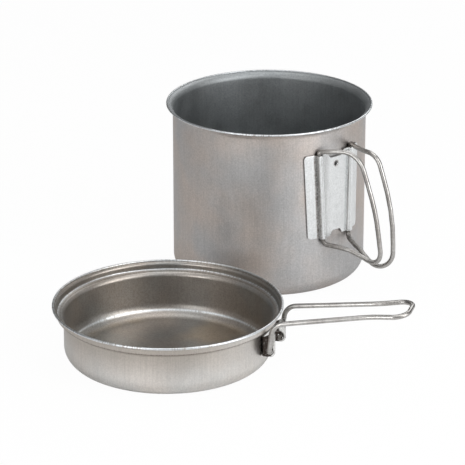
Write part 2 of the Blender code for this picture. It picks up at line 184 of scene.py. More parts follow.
def sleeve(
    rings: Floats, tips: tuple[Floats, Floats], lengths: Floats, around: float, shares: Shares
) -> Surface:
    """Close a tube of rings with a fan to a tip at each end.

    The surface is P(v, u): v picks the ring and u the place round it, with u wrapped at 1.

    Args:
        rings: points of shape (rings, sides, 3), turning left seen against the way that rings go.
        tips: the point that closes the first ring and the one that closes the last.
        lengths: the length along the tube at the first tip, each ring and the last tip.
        around: the width of the UV map, in metres.
        shares: the finish's shares at the first tip, each ring and the last tip.

    Returns:
        The closed surface.
    """
    rows, sides = rings.shape[:2]
    quads, corner_rows, corner_columns = ring_quads(rows, sides)
    first_tip = rows * sides
    last_tip = first_tip + 1
    j = np.arange(sides)
    after = (j + 1) % sides
    first_fan = np.stack([np.full(sides, first_tip), after, j], axis=-1)
    last_row = (rows - 1) * sides
    last_fan = np.stack([np.full(sides, last_tip), last_row + j, last_row + after], axis=-1)
    quad_uvs = np.stack([corner_columns / sides * around, lengths[corner_rows + 1]], axis=-1)
    middle = (j + 0.5) / sides * around
    start = j / sides * around
    end = (j + 1) / sides * around
    first_u = np.stack([middle, end, start], axis=-1)
    last_u = np.stack([middle, start, end], axis=-1)
    first_v = np.broadcast_to([lengths[0], lengths[1], lengths[1]], (sides, 3))
    last_v = np.broadcast_to([lengths[-1], lengths[-2], lengths[-2]], (sides, 3))
    triangle_uvs = np.concatenate(
        [np.stack([first_u, first_v], axis=-1), np.stack([last_u, last_v], axis=-1)]
    )
    return Surface(
        points=np.concatenate([rings.reshape(-1, 3), tips[0][None], tips[1][None]]),
        quads=quads,
        triangles=np.concatenate([first_fan, last_fan]).astype(np.int32),
        quad_uvs=quad_uvs,
        triangle_uvs=triangle_uvs,
        shares={
            share: np.concatenate([np.repeat(values[1:-1], sides), values[:1], values[-1:]])
            for share, values in shares.items()
        },
    )


def rounded_path(corners: Floats, bends: Sequence[float], turn_step: float, longest: float) -> Floats:
    """Draw a path through corners with each inner corner rounded to an arc.

    A corner that turns by t with bend radius R starts and ends R * tan(t / 2) from its tip.  Where
    a stretch is too short for the two arcs at its ends, both are made smaller.

    Args:
        corners: the corners in order, of shape (n, 2) or (n, 3).
        bends: the bend radius of each inner corner.
        turn_step: the largest turn between two points of an arc, in radians.
        longest: the longest stretch between two points.

    Returns:
        The points of the path.
    """
    steps = np.diff(corners, axis=0)
    lengths = np.linalg.norm(steps, axis=1)
    heads = steps / lengths[:, None]
    cosines = np.clip(np.sum(heads[:-1] * heads[1:], axis=1), -1.0, 1.0)
    turns = np.arccos(cosines)
    reaches = np.concatenate([[0.0], np.asarray(bends) * np.tan(turns / 2.0), [0.0]])
    shares = np.minimum(1.0, lengths / np.maximum(reaches[:-1] + reaches[1:], NOTHING))
    pieces = [corners[:1]]
    for i, turn in enumerate(turns, start=1):
        reach = reaches[i] * min(shares[i - 1], shares[i])
        if turn < STRAIGHT or reach < NOTHING:
            pieces.append(corners[i : i + 1])
            continue
        into, out_of = heads[i - 1], heads[i]
        radius = reach / math.tan(turn / 2.0)
        inward = (out_of - into) / np.linalg.norm(out_of - into)
        centre = corners[i] + inward * radius / math.cos(turn / 2.0)
        angles = np.linspace(0.0, turn, max(2, math.ceil(turn / turn_step) + 1))[:, None]
        start = corners[i] - into * reach - centre
        pieces.append(centre + start * np.cos(angles) + into * radius * np.sin(angles))
    pieces.append(corners[-1:])
    path = np.concatenate(pieces)
    gaps = np.linalg.norm(np.diff(path, axis=0), axis=1)
    return split(path[np.concatenate([[True], gaps > NOTHING])], longest)


def mixed(first: Floats | float, second: Floats | float, share: Floats) -> Floats:
    """Return what lies at a share of the way from the first to the second."""
    return first * (1.0 - share) + second * share


def stepped(line: Floats, counts: Ints) -> Floats:
    """Cut each stretch of a line into a number of equal steps.

    Args:
        line: the line's points.
        counts: the number of steps in each stretch; a stretch of none is left out.

    Returns:
        The points of the finer line.
    """
    starts = np.repeat(np.arange(len(counts)), counts)
    order = np.arange(len(starts)) - np.repeat(np.cumsum(counts) - counts, counts)
    share = (order / np.repeat(counts, counts))[:, None]
    return np.concatenate([mixed(line[starts], line[starts + 1], share), line[-1:]])


def split(path: Floats, longest: Floats | float) -> Floats:
    """Add points to a path so that no stretch is longer than given, for all or for each."""
    gaps = np.linalg.norm(np.diff(path, axis=0), axis=1)
    return stepped(path, np.ceil(gaps / longest).astype(int))


def path_lengths(path: Floats) -> Floats:
    """Return the length along a path at each of its points."""
    return np.concatenate([[0.0], np.cumsum(np.linalg.norm(np.diff(path, axis=0), axis=1))])


def directions(path: Floats) -> Floats:
    """Return the unit direction of travel at each point of a path."""
    travel = np.gradient(path, axis=0)
    return travel / np.linalg.norm(travel, axis=1, keepdims=True)


def offset_line(line: Floats, distance: float) -> Floats:
    """Return a flat line moved to the right of its direction of travel by a distance."""
    travel = directions(line)
    return line + np.stack([travel[:, 1], -travel[:, 0]], axis=-1) * distance


def round_wire(
    path: Floats, radii: Floats, sides: int, reference: Floats, hinge_shade: Floats
) -> Surface:
    """Sweep a circle along a path and close its two ends with flat faces.

    The ring at each point is P = path + radius * (cos(a) * normal + sin(a) * binormal), where the
    normal is the reference less its share along the path, made a unit, and the binormal is the
    direction of travel crossed with the normal.

    Args:
        path: the centre line.
        radii: the circle's radius at each point.
        sides: the number of points round a ring.
        reference: a direction that the path never runs along.
        hinge_shade: how much painted shade each point of the path holds.

    Returns:
        The closed wire.
    """
    travel = directions(path)
    normals = reference - travel * (travel @ reference)[:, None]
    normals = normals / np.linalg.norm(normals, axis=1, keepdims=True)
    binormals = np.cross(travel, normals)
    angles = np.arange(sides) * 2.0 * math.pi / sides
    spokes = normals[:, None] * np.cos(angles)[:, None] + binormals[:, None] * np.sin(angles)[:, None]
    rings = path[:, None] + spokes * radii[:, None, None]
    lengths = path_lengths(path)
    lengths = np.concatenate([[-radii[0]], lengths, [lengths[-1] + radii[-1]]])
    shares = {Share.PAINTED_SHADE: np.concatenate([hinge_shade[:1], hinge_shade, hinge_shade[-1:]])}
    return sleeve(rings, (path[0], path[-1]), lengths, 2.0 * math.pi * float(radii.max()), shares)


def hinge_shade_at_ends(path: Floats, hidden: float, strengths: Pair, reaches: Pair) -> Floats:
    """Spread painted shade from a wire's hinges along it.

    Args:
        path: the centre line.
        hidden: how much of each end lies inside its hinge.
        strengths: the painted shade at the first and at the last hinge.
        reaches: how far it spreads from each.

    Returns:
        A number for each point, from 0 to 1.
    """
    lengths = path_lengths(path)
    first = strengths[0] * bump_at(np.maximum(lengths - hidden, 0.0), reaches[0])
    last = strengths[1] * bump_at(np.maximum(lengths[-1] - hidden - lengths, 0.0), reaches[1])
    return np.maximum(first, last)


def softened_ends(path: Floats, radius: float, rounding: float) -> tuple[Floats, Floats]:
    """Round the edges of a wire's two end faces.

    At the distance rounding * (1 - cos(a)) from an end face the radius is
    radius - rounding * (1 - sin(a)), with a from nothing to a quarter turn.

    Args:
        path: the centre line from one end face to the other.
        radius: the wire's radius.
        rounding: the radius of the rounded edges.

    Returns:
        The path with rings added at its ends, and the radius at each of its points.
    """
    steps = edge_steps(rounding)
    ahead = steps[:, None]
    grown = radius - steps[::-1]
    travel = directions(path)
    lengths = path_lengths(path)
    clear = 1.2 * rounding
    kept = path[(lengths > clear) & (lengths < lengths[-1] - clear)]
    first = path[0] + travel[0] * ahead
    last = (path[-1] - travel[-1] * ahead)[::-1]
    radii = np.concatenate([grown, np.full(len(kept), radius), grown[::-1]])
    return np.concatenate([first, kept, last]), radii


# the long waves of drawn sheet: each one's share, number round the wall, shift, and twist upwards
WAVES = ((0.5, 2.0, 0.7, 1.3), (0.3, 3.0, 2.1, -2.0), (0.2, 5.0, 4.0, 4.5))


def turned(section: Floats, sides: int, shares: Shares, unevenness: float) -> Surface:
    """Turn a half section, whose two ends lie on the Z axis, round that axis.

    The surface is P(v, u) = (r(v) * cos(u), r(v) * sin(u), z(v)).  The wall's radius also swells
    and sinks by the long waves of drawn sheet, cosines of whole times u that are shifted along
    with the height, under a half sine over the height.

    Args:
        section: the radius and the height along the half section.
        sides: the number of points round the axis.
        shares: the finish's shares at each point of the section.
        unevenness: the size of the waves.

    Returns:
        The closed surface.
    """
    radius, height = section[1:-1, 0], section[1:-1, 1]
    angles = np.arange(sides) * 2.0 * math.pi / sides
    rise = np.clip((height - height.min()) / np.ptp(height), 0.0, 1.0)[:, None]
    waves = sum(
        share * np.cos(count * angles + shift + twist * rise) for share, count, shift, twist in WAVES
    )
    swell = unevenness * waves * np.sin(math.pi * rise) * (radius / radius.max())[:, None]
    reach = radius[:, None] + swell
    rings = np.stack(
        [reach * np.cos(angles), reach * np.sin(angles), np.broadcast_to(height[:, None], reach.shape)],
        axis=-1,
    )
    tips = tuple(np.array([0.0, 0.0, section[end, 1]]) for end in (0, -1))
    return sleeve(rings, tips, path_lengths(section), 2.0 * math.pi * float(radius.max()), shares)


def plate(middle: Floats, half: Floats, shares: Shares) -> Surface:
    """Thicken a grid to both sides by a half thickness that falls to nothing along its border.

    The two faces are P = M(v, u) + n * h(v, u) and P = M(v, u) - n * h(v, u), where n is the unit
    normal dM/du x dM/dv.  They share the border's points.

    Args:
        middle: the middle of the sheet, of shape (rows, columns, 3).
        half: the half thickness at each point, nothing along the border.
        shares: the finish's shares at each point.

    Returns:
        The closed plate.
    """
    rows, columns = middle.shape[:2]
    normals = np.cross(np.gradient(middle, axis=1), np.gradient(middle, axis=0))
    normals = normals / np.linalg.norm(normals, axis=-1, keepdims=True)
    lift = normals * half[..., None]
    front = np.arange(rows * columns).reshape(rows, columns)
    back = front.copy()
    back[1:-1, 1:-1] = rows * columns + np.arange((rows - 2) * (columns - 2)).reshape(rows - 2, -1)
    corners = [(slice(None, -1), slice(None, -1)), (slice(None, -1), slice(1, None))]
    corners += [(slice(1, None), slice(1, None)), (slice(1, None), slice(None, -1))]
    front_quads = np.stack([front[corner] for corner in corners], axis=-1).reshape(-1, 4)
    back_quads = np.stack([back[corner] for corner in corners[::-1]], axis=-1).reshape(-1, 4)
    u, v = np.meshgrid(path_lengths(middle[rows // 2]), path_lengths(middle[:, columns // 2]))
    places = np.stack([u, v], axis=-1)
    front_uvs = np.stack([places[corner] for corner in corners], axis=2).reshape(-1, 4, 2)
    back_uvs = np.stack([places[corner] for corner in corners[::-1]], axis=2).reshape(-1, 4, 2)
    beside = np.array([u.max() + UV_GAP, 0.0])
    inner = (middle - lift)[1:-1, 1:-1]
    return Surface(
        points=np.concatenate([(middle + lift).reshape(-1, 3), inner.reshape(-1, 3)]),
        quads=np.concatenate([front_quads, back_quads]).astype(np.int32),
        triangles=np.zeros((0, 3), dtype=np.int32),
        quad_uvs=np.concatenate([front_uvs, back_uvs + beside]),
        triangle_uvs=np.zeros((0, 2)),
        shares={
            share: np.concatenate([values.ravel(), values[1:-1, 1:-1].ravel()])
            for share, values in shares.items()
        },
    )


def edge_profile(distance: Floats, rounding: float) -> Floats:
    """Return the share of a plate's half thickness at a distance from its edge.

    The share is sqrt(1 - (1 - d / rounding)^2) up to the rounding, and 1 beyond it.
    """
    inset = np.clip(1.0 - distance / rounding, 0.0, 1.0)
    return np.sqrt(1.0 - inset**2)


def corner_relief(distance: Floats, radius: float) -> Floats:
    """Return how far a rounded corner stays back from the edge, at a distance from its tip.

    The relief is R - sqrt(R^2 - (R - d)^2) up to the radius R, and nothing beyond it.
    """
    inset = np.clip(radius - distance, 0.0, radius)
    return radius - np.sqrt(radius**2 - inset**2)


def edge_steps(rounding: float) -> Floats:
    """Return places over a rounded edge, R * (1 - cos(a)) with a from 0 to a quarter turn."""
    return rounding * (1.0 - np.cos(np.linspace(0.0, math.pi / 2.0, EDGE_POINTS)))


def end_steps(rounding: float, length: float, spacing: float) -> Floats:
    """Return places from nothing to a length, close together at the two ends.

    Args:
        rounding: the radius of the ends' rounding.
        length: the whole length.
        spacing: the largest step in between.

    Returns:
        The places in rising order.
    """
    near = edge_steps(rounding)
    count = math.ceil((length - 2.0 * rounding) / spacing) + 1
    inner = np.linspace(rounding, length - rounding, count)
    return np.concatenate([near[:-1], inner, length - near[-2::-1]])


def bump_at(distance: Floats, width: float) -> Floats:
    """Return exp(-(d / width)^2): 1 at no distance, and nothing from about two widths on."""
    return np.exp(-((distance / width) ** 2))


def fading(depth: Floats, fade: float) -> Floats:
    """Return how far a depth has come from 0 at nothing to 1 at the fade."""
    return np.clip(depth / fade, 0.0, 1.0)


def near_places(line: Floats, places: Floats, width: float) -> Floats:
    """Find how near each point of a line lies to the nearest of some places.

    Args:
        line: the line's points.
        places: the places, which may be none.
        width: how far off a point's answer has fallen to a third.

    Returns:
        A number for each point, 1 at a place and 0 far from all of them.
    """
    distance = np.linalg.norm(line[:, None] - places, axis=-1)
    return bump_at(distance.min(axis=1, initial=1.0), width)


def polar(radius: Floats | float, azimuth: Floats | float, height: Floats | float) -> Floats:
    """Return points at those distances from the Z axis, directions and heights."""
    parts = np.broadcast_arrays(radius * np.cos(azimuth), radius * np.sin(azimuth), height)
    return np.stack(parts, axis=-1)


def foot_centre(node: str) -> Floats:
    """Return the middle of the foot of a node's box."""
    low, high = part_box(node)
    return np.array([(low[0] + high[0]) / 2.0, (low[1] + high[1]) / 2.0, low[2]])


def drilled(piece: Piece, centres: Sequence[Floats], axis: Floats, diameter: float) -> None:
    """Cut round holes through a piece.

    Args:
        piece: the piece; its mesh is changed.
        centres: the middle of each hole.
        axis: the holes' direction.
        diameter: the holes' diameter.
    """
    aside = np.cross(axis, UP if abs(axis[2]) < 0.9 else [1.0, 0.0, 0.0])
    aside = aside / np.linalg.norm(aside)
    for centre in centres:
        line = np.stack([centre - axis * DRILL_REACH, centre + axis * DRILL_REACH])
        bit = round_wire(line, np.full(2, diameter / 2.0), DRILL_SIDES, aside, np.zeros(2))
        cutter = bpy.data.objects.new("drill", bit.mesh("drill"))
        bpy.context.scene.collection.objects.link(cutter)
        cut = piece.modifiers.new("hole", "BOOLEAN")
        cut.operation = "DIFFERENCE"
        cut.solver = "EXACT"
        cut.object = cutter
        settle(piece)
        bpy.data.objects.remove(cutter, do_unlink=True)


def settle(piece: Piece) -> None:
    """Apply a piece's modifiers to its mesh.

    Args:
        piece: the piece; it gets a new mesh, and its modifiers are removed.
    """
    graph = bpy.context.evaluated_depsgraph_get()
    finished = bpy.data.meshes.new_from_object(piece.evaluated_get(graph), depsgraph=graph)
    piece.modifiers.clear()
    old = piece.data
    piece.data = finished
    bpy.data.meshes.remove(old)


def place_piece(
    name: str, surface: Surface, material: Material, body: Body, node: str
) -> Piece:
    """Put a piece into the scene in the place of a node of the model.

    Args:
        name: the piece's name.
        surface: its mesh.
        material: its finish.
        body: the body that it moves with.
        node: the node that it stands for.

    Returns:
        The piece.
    """
    piece = bpy.data.objects.new(name, surface.mesh(name))
    piece.data.materials.append(material)
    bpy.context.scene.collection.objects.link(piece)
    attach(piece, body.value)
    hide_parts(node)
    LOG.info("%s: %d points", name, len(surface.points))
    return piece


# ---- finishes --------------------------------------------------------------------------------
MOST = (0.3, 0.7)  # the range that most of a cloudy pattern lies in
PATCHY = (0.4, 0.56)  # the range that cuts such a pattern into patches
WHOLE = (0.0, 1.0)


@dataclass(frozen=True)
class Cloud:
    """A cloudy pattern, about 0.5 on average.

    Attributes:
        scale: its cells to a metre.
        detail: how many finer layers it has.
        rough: how strong each finer layer is against the one before.
        stretch: the factors on the coordinates; a small one draws the pattern out.
        shift: what is added to the coordinates.
        unrolled: whether it follows the piece's own UV map instead of its space.
    """

    scale: float
    detail: float = 2.0
    rough: float = 0.5
    stretch: Place = (1.0, 1.0, 1.0)
    shift: Place = (0.0, 0.0, 0.0)
    unrolled: bool = False


class Nodes:
    """A node tree that grows by small steps."""

    def __init__(self, tree: bpy.types.NodeTree) -> None:
        """Take the tree that the nodes go into."""
        self.tree = tree

    def step(
        self,
        kind: str,
        output: str,
        inputs: dict[str | int, Socket | float | tuple[float, ...]],
        **settings: str,
    ) -> Socket:
        """Add a node to the tree.

        Args:
            kind: the node's type, without the "ShaderNode" that it starts with.
            output: the output that is wanted.
            inputs: what goes into each input, a socket or a constant.
            settings: the node's other settings.

        Returns:
            The output.
        """
        node = self.tree.nodes.new("ShaderNode" + kind)
        for name, setting in settings.items():
            setattr(node, name, setting)
        for name, value in inputs.items():
            if isinstance(value, Socket):
                self.tree.links.new(value, node.inputs[name])
            else:
                node.inputs[name].default_value = value
        return node.outputs[output]

    def product(self, first: Socket, *others: Socket) -> Socket:
        """Return values multiplied together."""
        for other in others:
            first = self.step("Math", "Value", {0: first, 1: other}, operation="MULTIPLY")
        return first

    def total(self, first: Socket, second: Socket) -> Socket:
        """Return the sum of two values."""
        return self.step("Math", "Value", {0: first, 1: second}, operation="ADD")

    def seen_directly(self, by_camera: float, by_metal: float) -> Socket:
        """Find how far a ray sees the studio's own white.

        Args:
            by_camera: the share for a ray that comes from the camera.
            by_metal: the share for a ray that comes from a glossy surface or through glass.

        Returns:
            The share, which is nothing for any other ray.
        """
        shares = {
            "Is Camera Ray": by_camera,
            "Is Glossy Ray": by_metal,
            "Is Transmission Ray": by_metal,
        }
        seen = 0.0
        for ray, share in shares.items():
            parts = {0: self.step("LightPath", ray, {}), 1: share, 2: seen}
            seen = self.step("Math", "Value", parts, operation="MULTIPLY_ADD")
        return seen

    def show(self, output: str, share: Socket, first: Socket, second: Socket) -> None:
        """Show two shaders mixed by a share.

        Args:
            output: the name of the tree's output node.
            share: the second shader's share.
            first: the first shader.
            second: the second shader.
        """
        both = self.step("MixShader", "Shader", {"Fac": share, 1: first, 2: second})
        self.tree.links.new(both, self.tree.nodes[output].inputs["Surface"])


class Recipe(Nodes):
    """An all-metal material that is put together from small steps."""

    def __init__(self, name: str) -> None:
        """Start the material.

        Args:
            name: its name.
        """
        self.material = bpy.data.materials.new(name)
        self.material.use_nodes = True
        super().__init__(self.material.node_tree)
        self.shader = self.tree.nodes["Principled BSDF"]
        self.shader.inputs["Metallic"].default_value = 1.0
        self.here = self.step("TexCoord", "Object", {})
        self.surface = self.step("UVMap", "UV", {}, uv_map="surface")

    def cloud(self, pattern: Cloud) -> Socket:
        """Lay a cloudy pattern over the piece.

        Args:
            pattern: the pattern.

        Returns:
            Its value.
        """
        source = self.surface if pattern.unrolled else self.here
        where = {"Vector": source, "Scale": pattern.stretch, "Location": pattern.shift}
        size = {"Scale": pattern.scale, "Detail": pattern.detail, "Roughness": pattern.rough}
        return self.step("TexNoise", "Fac", {"Vector": self.step("Mapping", "Vector", where)} | size)

    def spread(self, value: Socket, target: Pair, source: Pair = MOST) -> Socket:
        """Return a value moved from one range to another, smoothly and without leaving it."""
        ends = dict(zip(("From Min", "From Max", "To Min", "To Max"), source + target))
        return self.step("MapRange", "Result", {"Value": value} | ends, interpolation_type="SMOOTHSTEP")

    def between(self, share: Socket, first: Socket, second: Socket) -> Socket:
        """Return the value that lies at a share of the way from the first to the second."""
        return self.step("Mix", "Result", {"Factor": share, "A": first, "B": second})

    def tint(self, share: Socket, first: Socket | Colour, second: Socket | Colour) -> Socket:
        """Return the colour that lies at a share of the way from the first to the second."""
        first, second = ((*end, 1.0) if isinstance(end, tuple) else end for end in (first, second))
        return self.step("Mix", "Result", {"Factor": share, "A": first, "B": second}, data_type="RGBA")

    def shaded(self, colour: Socket, light: Socket) -> Socket:
        """Return a colour multiplied by a brightness."""
        return self.step("VectorMath", "Vector", {0: colour, "Scale": light}, operation="SCALE")

    def part(self, axis: str) -> Socket:
        """Return one part of the place on the piece: X, Y or Z."""
        return self.step("SeparateXYZ", axis, {"Vector": self.here})

    def distance(self, place: Place) -> Socket:
        """Return the distance from a place."""
        return self.step("VectorMath", "Value", {0: self.here, 1: place}, operation="DISTANCE")

    def share(self, share: Share) -> Socket:
        """Return one of the mesh's shares."""
        return self.step("Attribute", "Fac", {}, attribute_name=share.value)

    def relief(self, height: Socket, depth: float, below: Socket | None = None) -> Socket:
        """Lay a fine relief over the surface, or over another relief.

        Args:
            height: its height, from 0 to 1.
            depth: the depth that a height of 1 stands for.
            below: the direction of the surface with the relief that lies below.

        Returns:
            The surface's direction.
        """
        inputs = {"Strength": 1.0, "Distance": depth, "Height": height}
        if below is not None:
            inputs["Normal"] = below
        return self.step("Bump", "Normal", inputs)

    def feed(self, name: str, value: Socket) -> None:
        """Link a value to a socket of the shader."""
        self.tree.links.new(value, self.shader.inputs[name])


# the patterns of blasted and drawn sheet
PATCHES = Cloud(22.0, 3.0)
CLOUDS = Cloud(70.0, 5.0, 0.6)
DRAW_MARKS = Cloud(1100.0, 3.0, 0.6, stretch=(1.0, 1.0, 0.03))
SAND = Cloud(950.0, 4.0, 0.75)
ROLLED = Cloud(800.0, 2.0, stretch=(1.0, 0.05, 1.0), unrolled=True)
TICKED = Cloud(26.0, 1.0)
HEATED = Cloud(24.0, 2.0, shift=(0.31, 0.12, 0.05))
RAGGED_SHADE_SPOTS = Cloud(600.0, 4.0, 0.6)


@dataclass(frozen=True)
class SatinTitanium:
    """Blasted and drawn titanium sheet: a sandy grain, upright draw marks and soft patches of tint.

    Attributes:
        name: the material's name.
        outside: the colour outside, and that of its cooler patches.
        inside: the colour inside, and that of its cooler patches; kept darker than outside, partly the
            sheet's own tone and partly painted shade of the interior.
        heat: the colour of the places inside that heat has tinted.
        roughness: the lowest and the highest roughness outside.
        inside_roughness: the lowest and the highest roughness inside.
        polish_and_highlight: the colour where rubbing or rolling has polished the sheet, brighter also to
            paint a highlight there.
        polished_roughness: the lowest and the highest roughness there.
        painted_shade: the colour of the shade painted into the folds and under the lip.
        grain: how strong the sandy grain is outside, and inside.
        grain_depth: how deep the strongest grain would be.
        mark_depth: the depth of the draw marks.
        wear_depth: the depth of the marks where the sheet is rubbed bright.
        base_heights: the heights just over the base between which the tint of heat thins out.
        shade_spots: the places that get a spot of painted shade.
        shade_spot_reach: how far from its middle a spot is darkest, and how far it reaches.
        shade_spot_colour: the colour of its middle.
        upper_shade: the colour of the shade painted high on the outside.
        upper_shade_strength: how much of it there is at the top, from 0 for none.
        upper_shade_heights: the heights between which it fades in.
        upper_shade_reach: the places along X between which it fades away.
    """

    name: str
    outside: tuple[Colour, Colour]
    inside: tuple[Colour, Colour]
    heat: Colour
    roughness: Pair
    inside_roughness: Pair
    polish_and_highlight: Colour = (0.70, 0.73, 0.75)
    polished_roughness: Pair = (0.29, 0.33)
    painted_shade: Colour = (0.15, 0.13, 0.11)
    grain: Pair = (0.16, 0.16)
    grain_depth: float = 0.000075
    mark_depth: float = 0.000003
    wear_depth: float = 0.00014
    base_heights: Pair = (0.0008, 0.0026)
    shade_spots: tuple[Place, ...] = ()
    shade_spot_reach: Pair = (0.0012, 0.0034)
    shade_spot_colour: Colour = (0.06, 0.05, 0.045)
    upper_shade: Colour = (0.39, 0.35, 0.31)
    upper_shade_strength: float = 0.0
    upper_shade_heights: Pair = (0.009, 0.029)
    upper_shade_reach: Pair = (-0.055, -0.01)

    def material(self) -> Material:
        """Mix the finish.

        Returns:
            The material.
        """
        recipe = Recipe(self.name)
        inside = recipe.share(Share.INSIDE)
        rolled = recipe.cloud(ROLLED)
        marks = recipe.cloud(DRAW_MARKS)
        sand = recipe.cloud(SAND)
        clouds = recipe.cloud(CLOUDS)
        ticked = recipe.spread(recipe.cloud(TICKED), WHOLE, PATCHY)
        ticks = recipe.product(ticked, recipe.spread(rolled, (0.75, 0.0), (0.38, 0.56)))
        # the bright colour of polish, which also paints highlights on the lip and on the lines inside
        wear_and_highlight = recipe.product(recipe.share(Share.WEAR_AND_HIGHLIGHT), recipe.spread(ticks, (1.0, 0.0), WHOLE))
        colour = recipe.tint(wear_and_highlight, self.sheet_colour(recipe, inside), self.polish_and_highlight)
        # painted shade in the folds and under the lip
        broken = recipe.spread(rolled, (1.0, 0.55), PATCHY)
        colour = recipe.tint(recipe.product(recipe.share(Share.PAINTED_SHADE), broken), colour, self.painted_shade)
        # spots of painted shade
        colour = self.with_shade_spots(recipe, colour, inside)
        sandy = (recipe.spread(sand, (1.0 - grain, 1.0 + grain), (0.25, 0.75)) for grain in self.grain)
        light = recipe.product(
            recipe.spread(clouds, (0.96, 1.04)),
            recipe.spread(marks, (0.955, 1.045)),
            recipe.between(inside, *sandy),
        )
        recipe.feed("Base Color", recipe.shaded(colour, light))
        sheets = (recipe.spread(clouds, span) for span in (self.roughness, self.inside_roughness))
        rubbed = recipe.spread(clouds, self.polished_roughness)
        recipe.feed("Roughness", recipe.between(wear_and_highlight, recipe.between(inside, *sheets), rubbed))
        relief = recipe.relief(marks, self.mark_depth)
        relief = recipe.relief(sand, self.grain_depth * self.grain[0], relief)
        worn = recipe.product(rolled, recipe.share(Share.WEAR_AND_HIGHLIGHT))
        recipe.feed("Normal", recipe.relief(worn, self.wear_depth, relief))
        return recipe.material

    def sheet_colour(self, recipe: Recipe, inside: Socket) -> Socket:
        """Mix the colour of the sheet, with shade painted high on the outside.

        Args:
            recipe: the material's recipe.
            inside: 1 inside the vessel.

        Returns:
            The colour.
        """
        patches = recipe.spread(recipe.cloud(PATCHES), WHOLE, (0.32, 0.68))
        outside = recipe.tint(patches, *self.outside)
        # painted shade: the outside darker high up, and most towards -X
        if self.upper_shade_strength:
            upper_shaded = recipe.spread(recipe.part("Z"), (0.0, self.upper_shade_strength), self.upper_shade_heights)
            faded = recipe.spread(recipe.part("X"), (1.0, 0.35), self.upper_shade_reach)
            outside = recipe.tint(recipe.product(upper_shaded, faded), outside, self.upper_shade)
        colour = recipe.tint(inside, outside, recipe.tint(patches, *self.inside))
        heated = recipe.product(
            recipe.spread(recipe.cloud(HEATED), WHOLE, (0.45, 0.68)),
            recipe.spread(recipe.part("Z"), (0.75, 0.1), self.base_heights),
            inside,
        )
        return recipe.tint(heated, colour, self.heat)

    def with_shade_spots(self, recipe: Recipe, colour: Socket, inside: Socket) -> Socket:
        """Lay the spots of painted shade over a colour, outside only.

        Args:
            recipe: the material's recipe.
            colour: the colour.
            inside: 1 inside the vessel.

        Returns:
            The colour with the painted shade.
        """
        ragged = recipe.spread(recipe.cloud(RAGGED_SHADE_SPOTS), (0.35, 1.0), PATCHY)
        ragged = recipe.product(ragged, recipe.spread(inside, (1.0, 0.0), WHOLE))
        for place in self.shade_spots:
            near = recipe.spread(recipe.distance(place), (0.95, 0.0), self.shade_spot_reach)
            colour = recipe.tint(recipe.product(near, ragged), colour, self.shade_spot_colour)
        return colour


# the patterns of stamped sheet
STAMPED_GRAIN = Cloud(1500.0, 3.0, 0.6, stretch=(1.0, 0.05, 1.0), unrolled=True)
STAMPED_CLOUDS = Cloud(130.0, 4.0, 0.6)
SCUFFS = Cloud(900.0, 3.0, 0.7)
RAGGED_CREASE_SHADE = Cloud(700.0, 3.0, 0.7)


@dataclass(frozen=True)
class StampedSteel:
    """Bright stamped sheet: rolled grain, small scuffs, and brown shade painted into its creases.

    Attributes:
        name: the material's name.
        colour: its colour, and that of its duller places.
        roughness: the lowest and the highest roughness.
        painted_shade: the colour of the shade painted into the creases, round the holes and along the
            edges.
        scuff_depth: the depth of the scuffs.
        grain_depth: the depth of the grain.
    """

    name: str
    colour: tuple[Colour, Colour]
    roughness: Pair
    painted_shade: Colour = (0.13, 0.10, 0.08)
    scuff_depth: float = 0.000003
    grain_depth: float = 0.000002

    def material(self) -> Material:
        """Mix the finish.

        Returns:
            The material.
        """
        recipe = Recipe(self.name)
        grain, clouds, scuffs = (recipe.cloud(one) for one in (STAMPED_GRAIN, STAMPED_CLOUDS, SCUFFS))
        dull = recipe.spread(clouds, (0.0, 0.6), (0.45, 0.85))
        # painted shade in the creases, ragged at its edge
        ragged = recipe.spread(recipe.cloud(RAGGED_CREASE_SHADE), (0.65, 1.25))
        shade_amount = recipe.spread(recipe.product(recipe.share(Share.PAINTED_SHADE), ragged), WHOLE, (0.05, 0.95))
        colour = recipe.tint(shade_amount, recipe.tint(dull, *self.colour), self.painted_shade)
        light = recipe.product(
            recipe.spread(grain, (0.97, 1.03)), recipe.spread(scuffs, (0.88, 1.10), (0.25, 0.75))
        )
        recipe.feed("Base Color", recipe.shaded(colour, light))
        bare = recipe.spread(clouds, self.roughness)
        recipe.feed("Roughness", recipe.total(bare, recipe.spread(shade_amount, (0.0, 0.25), WHOLE)))
        relief = recipe.relief(grain, self.grain_depth)
        recipe.feed("Normal", recipe.relief(scuffs, self.scuff_depth, relief))
        return recipe.material


# the patterns of drawn wire
WIRE_MARKS = Cloud(1800.0, 3.0, 0.65, stretch=(1.0, 0.02, 1.0), unrolled=True)
WIRE_BANDS = Cloud(620.0, 2.0, stretch=(0.03, 1.0, 1.0), unrolled=True)
WIRE_STRETCHES = Cloud(90.0, 4.0, 0.6)
PITS = Cloud(1900.0, 2.0)
RAGGED_HINGE_SHADE = Cloud(420.0, 3.0, 0.6)


